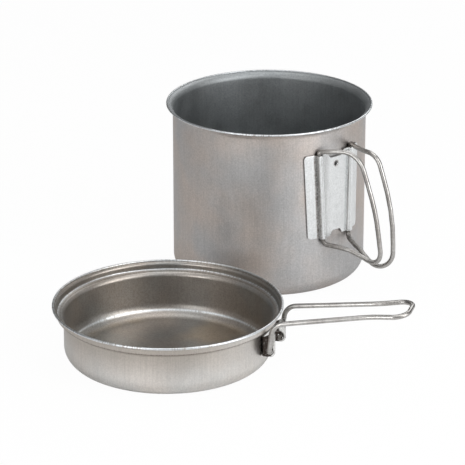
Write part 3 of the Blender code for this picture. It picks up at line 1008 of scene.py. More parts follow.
@dataclass(frozen=True)
class DrawnWire:
    """Drawn steel wire: fine marks along its length, worn, slightly darker stretches, and shade painted
    near its hinges.

    Attributes:
        name: the material's name.
        colour: its colour, and that of its darker stretches.
        roughness: the lowest and the highest roughness.
        painted_shade: the colour of the shade painted near its hinges.
        mark_depth: the depth of the marks.
        pit_depth: the depth of its small pits.
    """

    name: str
    colour: tuple[Colour, Colour]
    roughness: Pair
    painted_shade: Colour = (0.07, 0.06, 0.05)
    mark_depth: float = 0.000003
    pit_depth: float = 0.000002

    def material(self) -> Material:
        """Mix the finish.

        Returns:
            The material.
        """
        recipe = Recipe(self.name)
        marks, stretches, pits = (recipe.cloud(one) for one in (WIRE_MARKS, WIRE_STRETCHES, PITS))
        worn = recipe.spread(stretches, WHOLE, (0.38, 0.68))
        # painted shade near the hinges, ragged at its edge
        ragged = recipe.spread(recipe.cloud(RAGGED_HINGE_SHADE), (0.6, 1.0), (0.35, 0.6))
        hinge_shade = recipe.product(recipe.share(Share.PAINTED_SHADE), ragged)
        colour = recipe.tint(hinge_shade, recipe.tint(worn, *self.colour), self.painted_shade)
        light = recipe.product(
            recipe.spread(marks, (0.93, 1.06)),
            recipe.spread(pits, (0.97, 1.03)),
            recipe.spread(recipe.cloud(WIRE_BANDS), (0.92, 1.07), (0.35, 0.65)),
        )
        recipe.feed("Base Color", recipe.shaded(colour, light))
        dull = recipe.spread(hinge_shade, (0.0, 0.2), WHOLE)
        recipe.feed("Roughness", recipe.total(recipe.spread(stretches, self.roughness), dull))
        recipe.feed("Normal", recipe.relief(pits, self.pit_depth, recipe.relief(marks, self.mark_depth)))
        return recipe.material


POT_TITANIUM = SatinTitanium(
    name="pot_titanium",
    outside=((0.52, 0.463, 0.425), (0.45, 0.447, 0.449)),
    # darker inside: partly painted shade of the interior
    inside=((0.345, 0.36, 0.367), (0.32, 0.34, 0.35)),
    heat=(0.32, 0.31, 0.295),
    roughness=(0.46, 0.52),
    inside_roughness=(0.50, 0.56),
)
PAN_TITANIUM = SatinTitanium(
    name="pan_titanium",
    outside=((0.67, 0.635, 0.60), (0.61, 0.61, 0.60)),
    # darker inside: partly painted shade of the interior
    inside=((0.385, 0.347, 0.313), (0.327, 0.327, 0.318)),
    heat=(0.43, 0.365, 0.28),
    grain=(0.10, 0.20),
    roughness=(0.33, 0.39),
    inside_roughness=(0.37, 0.43),
    upper_shade_strength=0.8,
)
POT_PLATE_STEEL = StampedSteel(
    name="hinge_plate_steel",
    colour=((0.76, 0.775, 0.78), (0.64, 0.66, 0.665)),
    roughness=(0.20, 0.26),
)
PAN_PLATE_STEEL = StampedSteel(
    name="ear_plate_steel",
    colour=((0.86, 0.86, 0.85), (0.70, 0.70, 0.69)),
    roughness=(0.14, 0.20),
    # near-black painted shade for the dark faces of the ears
    painted_shade=(0.05, 0.04, 0.035),
)
WIRE_STEEL = DrawnWire(
    name="wire_steel",
    colour=((0.46, 0.45, 0.435), (0.35, 0.335, 0.32)),
    roughness=(0.28, 0.34),
)


# ---- the record's joints ---------------------------------------------------------------------
def joint_line(name: str) -> tuple[Floats, Floats]:
    """Read where a joint's axis runs from the model's record.

    Args:
        name: the joint's name.

    Returns:
        A point on the axis, and the axis.
    """
    joints = frame["record"]["behaviour"]["joints"]
    joint = next(row for row in joints if row["name"] == name)
    return np.array(joint["pos_m"]), np.array(joint["axis"])


# ---- vessels ---------------------------------------------------------------------------------
@dataclass
class Vessel:
    """A drawn sheet vessel whose rim is rolled into a round lip.

    Attributes:
        name: the piece's name.
        body: the body it moves with.
        node: the node it stands for.
        corners: the corners of the middle of its sheet, from the axis to the centre of the lip.
        bends: the bend radius of each inner corner.
        lip_radius: the radius of the lip's bead.
        painted_shade: the places in the half section that get painted shade, the one outside first.
        wear_and_highlight: the places in the half section that get a painted highlight inside.
        unevenness: the size of the wall's long waves.
        sheet: the sheet's thickness.
        painted_shade_width: how far the painted shade reaches from its places.
        highlight_width: how far the painted highlight reaches from its places.
        turn_step: the largest turn between two points of a bend.
        steps: the longest stretch of the section near those places, and elsewhere.
        fine_reach: how far from those places the short stretches start.
        lip_points: the points round the lip.
        sides: the points round the vessel.
    """

    name: str
    body: Body
    node: str
    corners: Floats
    bends: tuple[float, ...]
    lip_radius: float
    painted_shade: Floats
    wear_and_highlight: Floats
    unevenness: float = 0.00008
    sheet: float = 0.0005
    painted_shade_width: float = 0.0005
    highlight_width: float = 0.0007
    turn_step: float = math.radians(6.0)
    steps: Pair = (0.0004, 0.004)
    fine_reach: float = 0.0020
    lip_points: int = 25
    sides: int = 256

    def middle(self) -> Floats:
        """Draw the middle of the sheet from the axis to the centre of the lip.

        Returns:
            The radius and the height of its points, which are close together near the places
            that get painted shade or painted highlights.
        """
        fine, coarse = self.steps
        middle = rounded_path(self.corners, self.bends, self.turn_step, coarse)
        marked = np.concatenate([self.painted_shade, self.corners[-1:], self.wear_and_highlight])
        distance = np.linalg.norm(middle[:, None] - marked, axis=-1).min(axis=1)
        near = np.minimum(distance[:-1], distance[1:]) < self.fine_reach
        return split(middle, np.where(near, fine, coarse))

    def lip(self, middle: Floats) -> Floats:
        """Draw the lip's bead from the outer face of the sheet round to the inner face.

        Args:
            middle: the middle of the sheet.

        Returns:
            The points of centre + R * (cos(a), sin(a)), where a starts and ends half a turn, less
            what the sheet covers, off the sheet's own direction.
        """
        forward = middle[-1] - middle[-2]
        heading = math.atan2(forward[1], forward[0])
        sweep = math.pi - math.asin(self.sheet / 2.0 / self.lip_radius)
        angles = np.linspace(heading - sweep, heading + sweep, self.lip_points)
        return middle[-1] + self.lip_radius * np.stack([np.cos(angles), np.sin(angles)], axis=-1)

    def section(self) -> tuple[Floats, Shares]:
        """Draw the half section: up the outside, round the lip and down the inside.

        Returns:
            The section's points, and the finish's shares at each of them.
        """
        middle = self.middle()
        lip = self.lip(middle)
        outside, inside = (offset_line(middle, away * self.sheet / 2.0)[:-1] for away in (1.0, -1.0))
        for face in (outside, inside):
            face[0, 0] = 0.0  # on the axis
        none = np.zeros(len(outside))
        # painted shade: a dark line under the lip and at the given places
        under_lip = near_places(outside, lip[:1], self.painted_shade_width)
        outer_shade = np.maximum(under_lip, near_places(outside, self.painted_shade[:1], self.painted_shade_width))
        inner_shade = near_places(inside, self.painted_shade[1:], self.painted_shade_width)[::-1]
        # painted highlights inside, and the lip brightened both as polish and as a painted highlight
        inner_highlight = near_places(inside, self.wear_and_highlight, self.highlight_width)[::-1]
        over_lip = np.sin(np.linspace(0.0, math.pi, len(lip))) ** 0.5
        shares = {
            Share.INSIDE: [none, np.linspace(0.0, 1.0, len(lip)), np.ones(len(inside))],
            Share.WEAR_AND_HIGHLIGHT: [none, over_lip, inner_highlight],
            Share.PAINTED_SHADE: [outer_shade, np.zeros(len(lip)), inner_shade],
        }
        section = np.concatenate([outside, lip, inside[::-1]])
        return section, {share: np.concatenate(parts) for share, parts in shares.items()}

    def build(self, finish: SatinTitanium) -> Piece:
        """Turn the vessel and put it where its node stands.

        Args:
            finish: its finish.

        Returns:
            The vessel.
        """
        section, shares = self.section()
        surface = turned(section, self.sides, shares, self.unevenness)
        surface = replace(surface, points=surface.points + foot_centre(self.node))
        return place_piece(self.name, surface, finish.material(), self.body, self.node)


@dataclass
class Wall:
    """The sizes that the half sections of both vessels have.

    Attributes:
        radius: the wall's outer radius.
        height: the whole height.
        rim_radius: the radius to the outside of the lip.
        lip_radius: the radius of the lip's bead.
        flare_bend: the bend at the foot of the flared rim.
        flare_rise: the flared rim's slope.
        corner_bend: the bend between the base and the wall, to the middle of the sheet.
        sheet: the sheet's thickness.
    """

    radius: float
    height: float
    rim_radius: float
    lip_radius: float
    flare_bend: float
    flare_rise: float
    corner_bend: float
    sheet: float = 0.0005

    @property
    def corner(self) -> Pair:
        """Return the corner between the base and the wall, in the middle of the sheet."""
        return (self.radius - self.sheet / 2.0, self.sheet / 2.0)

    @property
    def lip(self) -> Pair:
        """Return the centre of the lip's bead."""
        return (self.rim_radius - self.lip_radius, self.height - self.lip_radius)

    def flare_foot(self, upright: float) -> Pair:
        """Return the corner where the flared rim starts, over an upright of that radius."""
        return (upright, self.lip[1] - (self.lip[0] - upright) * math.tan(self.flare_rise))


@dataclass
class PotWall(Wall):
    """The sizes of the tall pot."""

    radius: float = 0.0665
    height: float = 0.1203
    rim_radius: float = 0.0710
    lip_radius: float = 0.0007
    flare_bend: float = 0.0048
    flare_rise: float = math.radians(16.0)
    corner_bend: float = 0.0100

    def vessel(self) -> Vessel:
        """Work out the pot's half section.

        Returns:
            The pot as a vessel.
        """
        wall, floor = self.corner
        return Vessel(
            name="pot_shell",
            body=Body.POT,
            node="pot_body",
            corners=np.array([(0.0, floor), self.corner, self.flare_foot(wall), self.lip]),
            bends=(self.corner_bend, self.flare_bend),
            lip_radius=self.lip_radius,
            # painted shade: a dark line under the lip
            painted_shade=np.array([self.lip]),
            wear_and_highlight=np.zeros((0, 2)),
            sheet=self.sheet,
        )


@dataclass
class PanWall(Wall):
    """The sizes of the frying pan, whose stepped rim drops over the pot's rim as a lid.

    Attributes:
        band_radius: the outer radius of the band that drops over the pot's rim.
        seat_depth: how far the ledge that sits on the pot's rim lies below the lip.
        seat_drop: how far the ledge slopes down towards the wall.
        groove_bend: the bend between the ledge and the band.
        shoulder_bend: the bend between the wall and the ledge.
        ring_tilt: how far up the corner's bend the painted highlight of the ring inside lies.
    """

    radius: float = 0.0675
    height: float = 0.0377
    rim_radius: float = 0.0748
    lip_radius: float = 0.0008
    flare_bend: float = 0.0016
    flare_rise: float = math.radians(35.0)
    corner_bend: float = 0.0098
    band_radius: float = 0.0721
    seat_depth: float = 0.0060
    seat_drop: float = 0.0016
    groove_bend: float = 0.0007
    shoulder_bend: float = 0.0030
    ring_tilt: float = math.radians(34.0)

    def vessel(self) -> Vessel:
        """Work out the pan's half section.

        Returns:
            The pan as a vessel.
        """
        wall, floor = self.corner
        band = self.band_radius - self.sheet / 2.0
        seat = self.height - self.seat_depth
        shoulder, groove = (wall, seat - self.seat_drop), (band, seat)
        foot = self.flare_foot(band)
        ledge = np.add(shoulder, groove) / 2.0
        flare = np.add(foot, self.lip) / 2.0
        inner_bend = self.corner_bend - self.sheet / 2.0
        ring = (
            wall - self.corner_bend + inner_bend * math.cos(self.ring_tilt),
            floor + self.corner_bend - inner_bend * math.sin(self.ring_tilt),
        )
        return Vessel(
            name="pan_shell",
            body=Body.PAN,
            node="pan_body",
            corners=np.array([(0.0, floor), self.corner, shoulder, groove, foot, self.lip]),
            bends=(self.corner_bend, self.shoulder_bend, self.groove_bend, self.flare_bend),
            lip_radius=self.lip_radius,
            # painted shade under the band outside, and on the ledge and the flare inside; painted
            # highlights at the band's foot and on the ring in the base's corner
            painted_shade=np.array([groove, ledge, flare]),
            wear_and_highlight=np.array([(band - self.sheet / 2.0, seat), ring]),
            sheet=self.sheet,
        )


# ---- what the plates and the wires share -----------------------------------------------------
@dataclass(kw_only=True)
class StampedPlate:
    """A stamped plate on a vessel's wall.

    Attributes:
        wall_radius: the outer radius of the vessel's wall.
        bottom: the height of its bottom edge.
        top: the height of its top edge.
        sheet: the sheet's thickness.
        hole_diameter: the diameter of its holes.
        edge_rounding: the rounding of its cut edges.
        edge_shade: how dark the shade painted along those edges is.
        edge_shade_width: how far it reaches.
        edge_shade_width: how far it reaches.
    """

    wall_radius: float
    bottom: float
    top: float
    sheet: float
    hole_diameter: float
    edge_rounding: float = 0.0003
    edge_shade: float = 0.6
    edge_shade_width: float = 0.0003

    def thickened(self, middle: Floats, to_side: Floats, to_end: Floats, painted_shade: Floats) -> Surface:
        """Give the plate its thickness, with rounded edges and shade painted along them.

        Args:
            middle: the middle of the sheet, of shape (rows, columns, 3).
            to_side: each point's distance from the nearer side.
            to_end: its distance from the nearer end.
            painted_shade: the painted shade that it holds for other reasons.

        Returns:
            The closed plate.
        """
        profiles = (edge_profile(distance, self.edge_rounding) for distance in (to_side, to_end))
        on_edge = self.edge_shade * bump_at(np.minimum(to_side, to_end), self.edge_shade_width)
        half = self.sheet / 2.0 * math.prod(profiles)
        return plate(middle, half, {Share.PAINTED_SHADE: np.maximum(painted_shade, on_edge)})


@dataclass(kw_only=True)
class BentWire:
    """A bent round wire whose two ends turn in a plate.

    Attributes:
        hinge_shade: the painted shade at its first and at its last hinge end.
        hinge_shade_reach: how far it spreads from each.
        tail: how much of each end lies in its hinge.
        wire_radius: the wire's radius.
        end_rounding: the rounding of its end faces' edges.
        sides: the points round the wire.
    """

    hinge_shade: Pair
    hinge_shade_reach: Pair
    tail: float
    wire_radius: float = 0.0016
    end_rounding: float
    sides: int = 28

    def swept(self, path: Floats, reference: Floats) -> Surface:
        """Carry the wire's round section along a path.

        Args:
            path: the centre line from one end face to the other.
            reference: a direction that the path never runs along.

        Returns:
            The closed wire.
        """
        path, radii = softened_ends(path, self.wire_radius, self.end_rounding)
        hinge_shade = hinge_shade_at_ends(path, self.tail, self.hinge_shade, self.hinge_shade_reach)
        return round_wire(path, radii, self.sides, reference, hinge_shade)


# ---- the pot's hinge plate and loops ---------------------------------------------------------
@dataclass(frozen=True)
class PlateGrid:
    """Where the points of the hinge plate's grid lie before it is bent round the wall.

    Attributes:
        place: the place along the wall from the plate's middle, rising to the right.
        off_wall: how far the middle of the sheet stands off the wall.
        rise: the height over the plate's bottom edge.
        share: the rise as a share of the plate's height.
        hinge: the place of the right hinge line at that height.
        to_side: the distance from the nearer side.
        to_end: the distance from the nearer end.
    """

    place: Floats
    off_wall: Floats
    rise: Floats
    share: Floats
    hinge: Floats
    to_side: Floats
    to_end: Floats


@dataclass(frozen=True)
class PaintedShadeLine:
    """A line of painted shade up the hinge plate, beside each tunnel.

    Attributes:
        place: its distance outwards from the part of the tunnel that it follows.
        strengths: how dark it is painted on the left and on the right.
        widths: how far it reaches at the bottom and at the top.
    """

    place: float
    strengths: Pair
    widths: Pair


@dataclass
class HingePlate(StampedPlate):
    """The plate on the pot's wall, with two tunnels that hold the loops' ends.

    Attributes:
        width_top: its width at the top.
        width_bottom: its width at the bottom.
        corner: the radius of its four corners.
        standoff: how far the flat between the tunnels stands off the wall.
        crease: the bend at the foot of a tunnel.
        notch_top: the width of the notch in the top edge.
        notch_bottom: the width of the notch in the bottom edge.
        notch_flat: the share of a notch's width that is flat.
        notch_depth: how deep the notches are.
        hole_drop: how far the hole to hang the pot by lies below the top edge.
        wire_radius: the radius of the loops' wire.
        steps: the longest stretch between two points across the plate, up it and over its corners.
        flank: the painted shade on a tunnel's outer flank, placed from the hinge line.
        flange: the painted shade on the flange, placed from the tunnel's outer foot.
        centre: the painted shade in the crease at the tunnel's inner foot.
        hole_shade_width: how far the painted shade reaches from the hole's edge.
        crimps: each dent that holds a wire's end in: its side and its drop from the top edge.
        crimp_place: how far to the right of the hinge line a crimp lies.
        crimp_radius: how far a crimp reaches.
        crimp_depth: how deep it is.
        crimp_shade: how much painted shade it holds.
        hinges: a place on each hinge line, and the line's direction upwards.
    """

    wall_radius: float = 0.0665
    bottom: float = 0.0418
    top: float = 0.1022
    sheet: float = 0.0008
    hole_diameter: float = 0.0029
    width_top: float = 0.0510
    width_bottom: float = 0.0465
    corner: float = 0.0028
    standoff: float = 0.0009
    crease: float = 0.0006
    notch_top: float = 0.0170
    notch_bottom: float = 0.0120
    notch_flat: float = 0.5
    notch_depth: float = 0.0035
    hole_drop: float = 0.0086
    wire_radius: float = 0.0016
    steps: tuple[float, float, float] = (0.0005, 0.0009, 0.00035)
    flank: PaintedShadeLine = PaintedShadeLine(0.0017, (0.5, 0.0), (0.0009, 0.0009))
    flange: PaintedShadeLine = PaintedShadeLine(0.0009, (0.72, 0.5), (0.0010, 0.0007))
    centre: PaintedShadeLine = PaintedShadeLine(0.0002, (1.0, 0.2), (0.0004, 0.0004))
    hole_shade_width: float = 0.0009
    crimps: tuple[tuple[Side, float], ...] = ((Side.LEFT, 0.0060), (Side.RIGHT, 0.0095))
    crimp_place: float = 0.0003
    crimp_radius: float = 0.0008
    crimp_depth: float = 0.00022
    crimp_shade: float = 0.9
    hinges: dict[Side, tuple[Floats, Floats]] = field(init=False)

    def __post_init__(self) -> None:
        """Read where the two hinge lines run."""
        lines = {Side.LEFT: joint_line("left_loop_fold"), Side.RIGHT: joint_line("right_loop_fold")}
        self.hinges = {side: (place, axis * np.sign(axis[2])) for side, (place, axis) in lines.items()}

    @property
    def height(self) -> float:
        """Return the plate's height."""
        return self.top - self.bottom

    @property
    def hinge_radius(self) -> float:
        """Return the distance of the hinge lines from the pot's axis."""
        return self.wall_radius + GAP + self.wire_radius

    @property
    def tunnel(self) -> float:
        """Return the bend of a tunnel, to the middle of its sheet."""
        return self.wire_radius + GAP + self.sheet / 2.0

    def hinge_azimuth(self, side: Side, share: float) -> float:
        """Find the direction of a hinge line from the pot's axis.

        Args:
            side: the line's side.
            share: a share of the plate's height.

        Returns:
            The direction at that height, in radians from +X towards +Y.
        """
        place, up = self.hinges[side]
        point = place + up * self.height / up[2] * share
        return math.atan2(point[1], point[0])

    def azimuth(self, share: float) -> float:
        """Return the direction of the plate's middle at a share of its height."""
        return (self.hinge_azimuth(Side.LEFT, share) + self.hinge_azimuth(Side.RIGHT, share)) / 2.0

    def hinge_place(self, share: float) -> float:
        """Return how far along the wall a hinge line lies from the middle at a share of the height."""
        apart = self.hinge_azimuth(Side.RIGHT, share) - self.hinge_azimuth(Side.LEFT, share)
        return apart / 2.0 * self.hinge_radius

    def mouths(self) -> tuple[Place, ...]:
        """Find the places on the wall next to three of the tunnels' mouths.

        Returns:
            The places.
        """
        ends = (
            (Side.LEFT, 1.0, self.top),
            (Side.LEFT, 0.0, self.bottom),
            (Side.RIGHT, 1.0, self.top),
        )
        return tuple(
            tuple(polar(self.wall_radius, self.hinge_azimuth(side, share), height))
            for side, share, height in ends
        )

    def half_section(self, share: float, half_width: float) -> Floats:
        """Draw the right half of a cross section.

        From the middle the sheet runs flat, climbs over the tunnel and lies on the wall as a
        flange.  Both ends of the plate give the same number of points.

        Args:
            share: the section's share of the plate's height.
            half_width: half of the plate's width there.

        Returns:
            The place along the wall and the height off the wall of each point.
        """
        flat = self.standoff + self.sheet / 2.0
        flange = GAP + self.sheet / 2.0
        crown = GAP + self.wire_radius + self.tunnel
        inner = self.hinge_place(share) - self.tunnel
        outer = self.hinge_place(share) + self.tunnel
        edge = half_width - self.corner
        tunnel = [(inner, flat), (inner, crown), (outer, crown), (outer, flange)]
        bends = (self.crease, self.tunnel, self.tunnel, self.crease)
        corners = np.array([(0.0, flat), *tunnel, (edge, flange)])
        arcs = rounded_path(corners, bends, PLATE_TURN, UNSPLIT)
        rim = half_width - end_steps(self.edge_rounding, 2.0 * self.corner, self.steps[2])[::-1]
        rim = rim[rim > edge + NOTHING]
        return np.concatenate([arcs, np.stack([rim, np.full(len(rim), flange)], axis=-1)])

    def sections(self) -> tuple[Floats, Floats]:
        """Draw the whole cross sections at the plate's two ends.

        Returns:
            The lower and the upper section from left to right, with matching points.
        """
        low = self.half_section(0.0, self.width_bottom / 2.0)
        high = self.half_section(1.0, self.width_top / 2.0)
        spans = np.maximum(*(np.linalg.norm(np.diff(half, axis=0), axis=1) for half in (low, high)))
        counts = np.maximum(1, np.ceil(spans / self.steps[0] - NOTHING).astype(int))
        halves = (stepped(half, counts) for half in (low, high))
        return tuple(np.concatenate([half[:0:-1] * [-1.0, 1.0], half]) for half in halves)

    def notch(self, place: Floats, half: float) -> Floats:
        """Return how far a notch cuts into an edge.

        The depth is D * (1 - cos(pi * a)) / 2, where a rises from 0 at the notch's end to 1 where
        its flat middle starts.

        Args:
            place: the places along the edge.
            half: half of the notch's width.

        Returns:
            The depth at each place.
        """
        rise = np.clip((half - np.abs(place)) / (half * (1.0 - self.notch_flat)), 0.0, 1.0)
        return self.notch_depth / 2.0 * (1.0 - np.cos(math.pi * rise))

    def grid(self) -> PlateGrid:
        """Lay out the plate between its bottom and its top edge.

        A point at a share s of the height lies at mixed(low, high, s), between the lower and the
        upper cross section.

        Returns:
            The grid, with its rows from the bottom to the top and its columns from left to right.
        """
        low, high = self.sections()
        half_low, half_high = self.width_bottom / 2.0, self.width_top / 2.0
        start = self.notch(low[:, 0], self.notch_bottom / 2.0)
        start = start + corner_relief(half_low - np.abs(low[:, 0]), self.corner)
        end = self.height - self.notch(high[:, 0], self.notch_top / 2.0)
        end = end - corner_relief(half_high - np.abs(high[:, 0]), self.corner)
        steps = end_steps(self.edge_rounding, self.height, self.steps[1]) / self.height
        rise = start + (end - start) * steps[:, None]
        share = rise / self.height
        place = mixed(low[:, 0], high[:, 0], share)
        return PlateGrid(
            place=place,
            off_wall=mixed(low[:, 1], high[:, 1], share),
            rise=rise,
            share=share,
            hinge=mixed(self.hinge_place(0.0), self.hinge_place(1.0), share),
            to_side=mixed(half_low, half_high, share) - np.abs(place),
            to_end=np.minimum(rise - start, end - rise),
        )

    def crimped(self, grid: PlateGrid) -> Floats:
        """Find how far into a crimp each point lies.

        Args:
            grid: the plate's grid.

        Returns:
            1 in the middle of a crimp and 0 far from all of them.
        """
        crimped = np.zeros_like(grid.place)
        for side, drop in self.crimps:
            across = grid.place - side.value * grid.hinge - self.crimp_place
            from_crimp = np.hypot(across, self.height - drop - grid.rise)
            crimped = np.maximum(crimped, bump_at(from_crimp, self.crimp_radius))
        return crimped

    def painted_shade(self, grid: PlateGrid) -> Floats:
        """Find where shade is painted: in the creases, in the crimps and round the hole.

        Args:
            grid: the plate's grid.

        Returns:
            A number for each point, from 0 to 1.
        """
        on_right = np.where(grid.place < 0.0, 0.0, 1.0)
        from_hinge = np.abs(grid.place) - grid.hinge
        painted_shade = self.crimp_shade * self.crimped(grid) ** 2
        followed = ((0.0, self.flank), (self.tunnel, self.flange), (-self.tunnel, self.centre))
        for part, line in followed:
            near = bump_at(from_hinge - part - line.place, mixed(*line.widths, grid.share))
            painted_shade = np.maximum(painted_shade, mixed(*line.strengths, on_right) * near)
        from_hole = np.hypot(grid.place, self.height - self.hole_drop - grid.rise)
        return np.maximum(painted_shade, bump_at(from_hole - self.hole_diameter / 2.0, self.hole_shade_width))

    def build(self, finish: StampedSteel) -> Piece:
        """Bend the plate round the wall, thicken it and drill its hole.

        Args:
            finish: its finish.

        Returns:
            The plate.
        """
        grid = self.grid()
        off_wall = grid.off_wall - self.crimp_depth * self.crimped(grid)
        azimuth = mixed(self.azimuth(0.0), self.azimuth(1.0), grid.share) + grid.place / self.hinge_radius
        middle = polar(self.wall_radius + off_wall, azimuth, self.bottom + grid.rise)
        surface = self.thickened(middle, grid.to_side, grid.to_end, self.painted_shade(grid))
        material = finish.material()
        piece = place_piece(
            "pot_hinge_plate", surface, material, Body.POT, "pot_bracket"
        )
        outward = polar(1.0, self.azimuth(1.0), 0.0)
        centre = outward * (self.wall_radius + self.standoff) + UP * (self.top - self.hole_drop)
        drilled(piece, [centre], outward, self.hole_diameter)
        return piece


@dataclass(kw_only=True)
class WireLoop(BentWire):
    """One hand-bent loop of the pot, drawn flat and then rolled to lie round the wall when folded.

    Its corners are places in reach out from the hinge line and height over the plate's bottom or
    top edge.

    Attributes:
        side: its side.
        body: the body it moves with.
        node: the node it stands for.
        opening: how far it is open, in radians from lying on the wall.
        shoulder: the corner where its upper arm ends, over the top edge.
        bow: the corner where the grip starts, over the bottom edge.
        toe: the corner where the grip ends, over the bottom edge.
        knee: the corner in its lower arm, over the bottom edge.
        bends: the bend radius of each corner from the upper hinge end to the lower one.
        roll_radius: the radius that it is rolled to.
        neck: the clearance between the plate and the bend at each end.
    """

    side: Side
    body: Body
    node: str
    opening: float
    shoulder: Pair
    bow: Pair
    toe: Pair
    knee: Pair
    bends: tuple[float, float, float, float, float, float]
    roll_radius: float = 0.0500
    neck: float = 0.0003
    hinge_shade_reach: Pair = (0.007, 0.030)
    tail: float = 0.0180
    end_rounding: float = 0.0005

    def flat_path(self, hinge_length: float) -> Floats:
        """Draw the loop flat.

        Args:
            hinge_length: the length of the hinge line between the plate's edges.

        Returns:
            The reach and the height over the plate's bottom edge of each point.
        """
        corners = [
            (0.0, hinge_length - self.tail),
            (0.0, hinge_length + self.neck + self.bends[0]),
            (self.shoulder[0], hinge_length + self.shoulder[1]),
            self.bow,
            self.toe,
            self.knee,
            (0.0, -self.neck - self.bends[-1]),
            (0.0, self.tail),
        ]
        return rounded_path(np.array(corners), self.bends, WIRE_TURN, WIRE_STEP)

    def build(self, hinge_plate: HingePlate, finish: DrawnWire) -> Piece:
        """Bend the wire on its hinge line.

        The flat place (x, z) goes to hinge + R * sin(x / R) * outward
        + side * R * (1 - cos(x / R)) * sideways + z * up.

        Args:
            hinge_plate: the plate that holds it.
            finish: its finish.

        Returns:
            The loop.
        """
        bottom, up = hinge_plate.hinges[self.side]
        turn = self.side.value * (math.pi / 2.0 - self.opening)
        outward = polar(1.0, hinge_plate.azimuth(0.5) + turn, 0.0)
        outward = outward - up * (outward @ up)
        outward = outward / np.linalg.norm(outward)
        sideways = np.cross(up, outward)
        flat = self.flat_path(hinge_plate.height / up[2])
        angle = flat[:, :1] / self.roll_radius
        reach = self.roll_radius * np.sin(angle) * outward
        lean = self.side.value * self.roll_radius * (1.0 - np.cos(angle)) * sideways
        surface = self.swept(bottom + reach + lean + flat[:, 1:] * up, sideways)
        name = f"pot_loop_wire_{self.side.name.lower()}"
        return place_piece(name, surface, finish.material(), self.body, self.node)


def left_loop() -> WireLoop:
    """Return the loop that folds to the left."""
    return WireLoop(
        side=Side.LEFT,
        body=Body.LEFT_LOOP,
        node="pot_handle_left",
        opening=math.radians(135.6),
        shoulder=(0.0280, 0.0037),
        bow=(0.0418, 0.0218),
        toe=(0.0468, -0.0180),
        knee=(0.0180, -0.0080),
        bends=(0.0018, 0.0165, 0.1130, 0.0099, 0.0142, 0.0042),
        hinge_shade=(0.35, 0.6),
    )


def right_loop() -> WireLoop:
    """Return the loop that folds to the right."""
    return WireLoop(
        side=Side.RIGHT,
        body=Body.RIGHT_LOOP,
        node="pot_handle_right",
        opening=math.radians(115.5),
        shoulder=(0.0308, 0.0026),
        bow=(0.0446, 0.0261),
        toe=(0.0456, -0.0249),
        knee=(0.0172, -0.0081),
        bends=(0.0018, 0.0104, 0.1430, 0.0116, 0.0142, 0.0042),
        hinge_shade=(0.75, 0.8),
    )


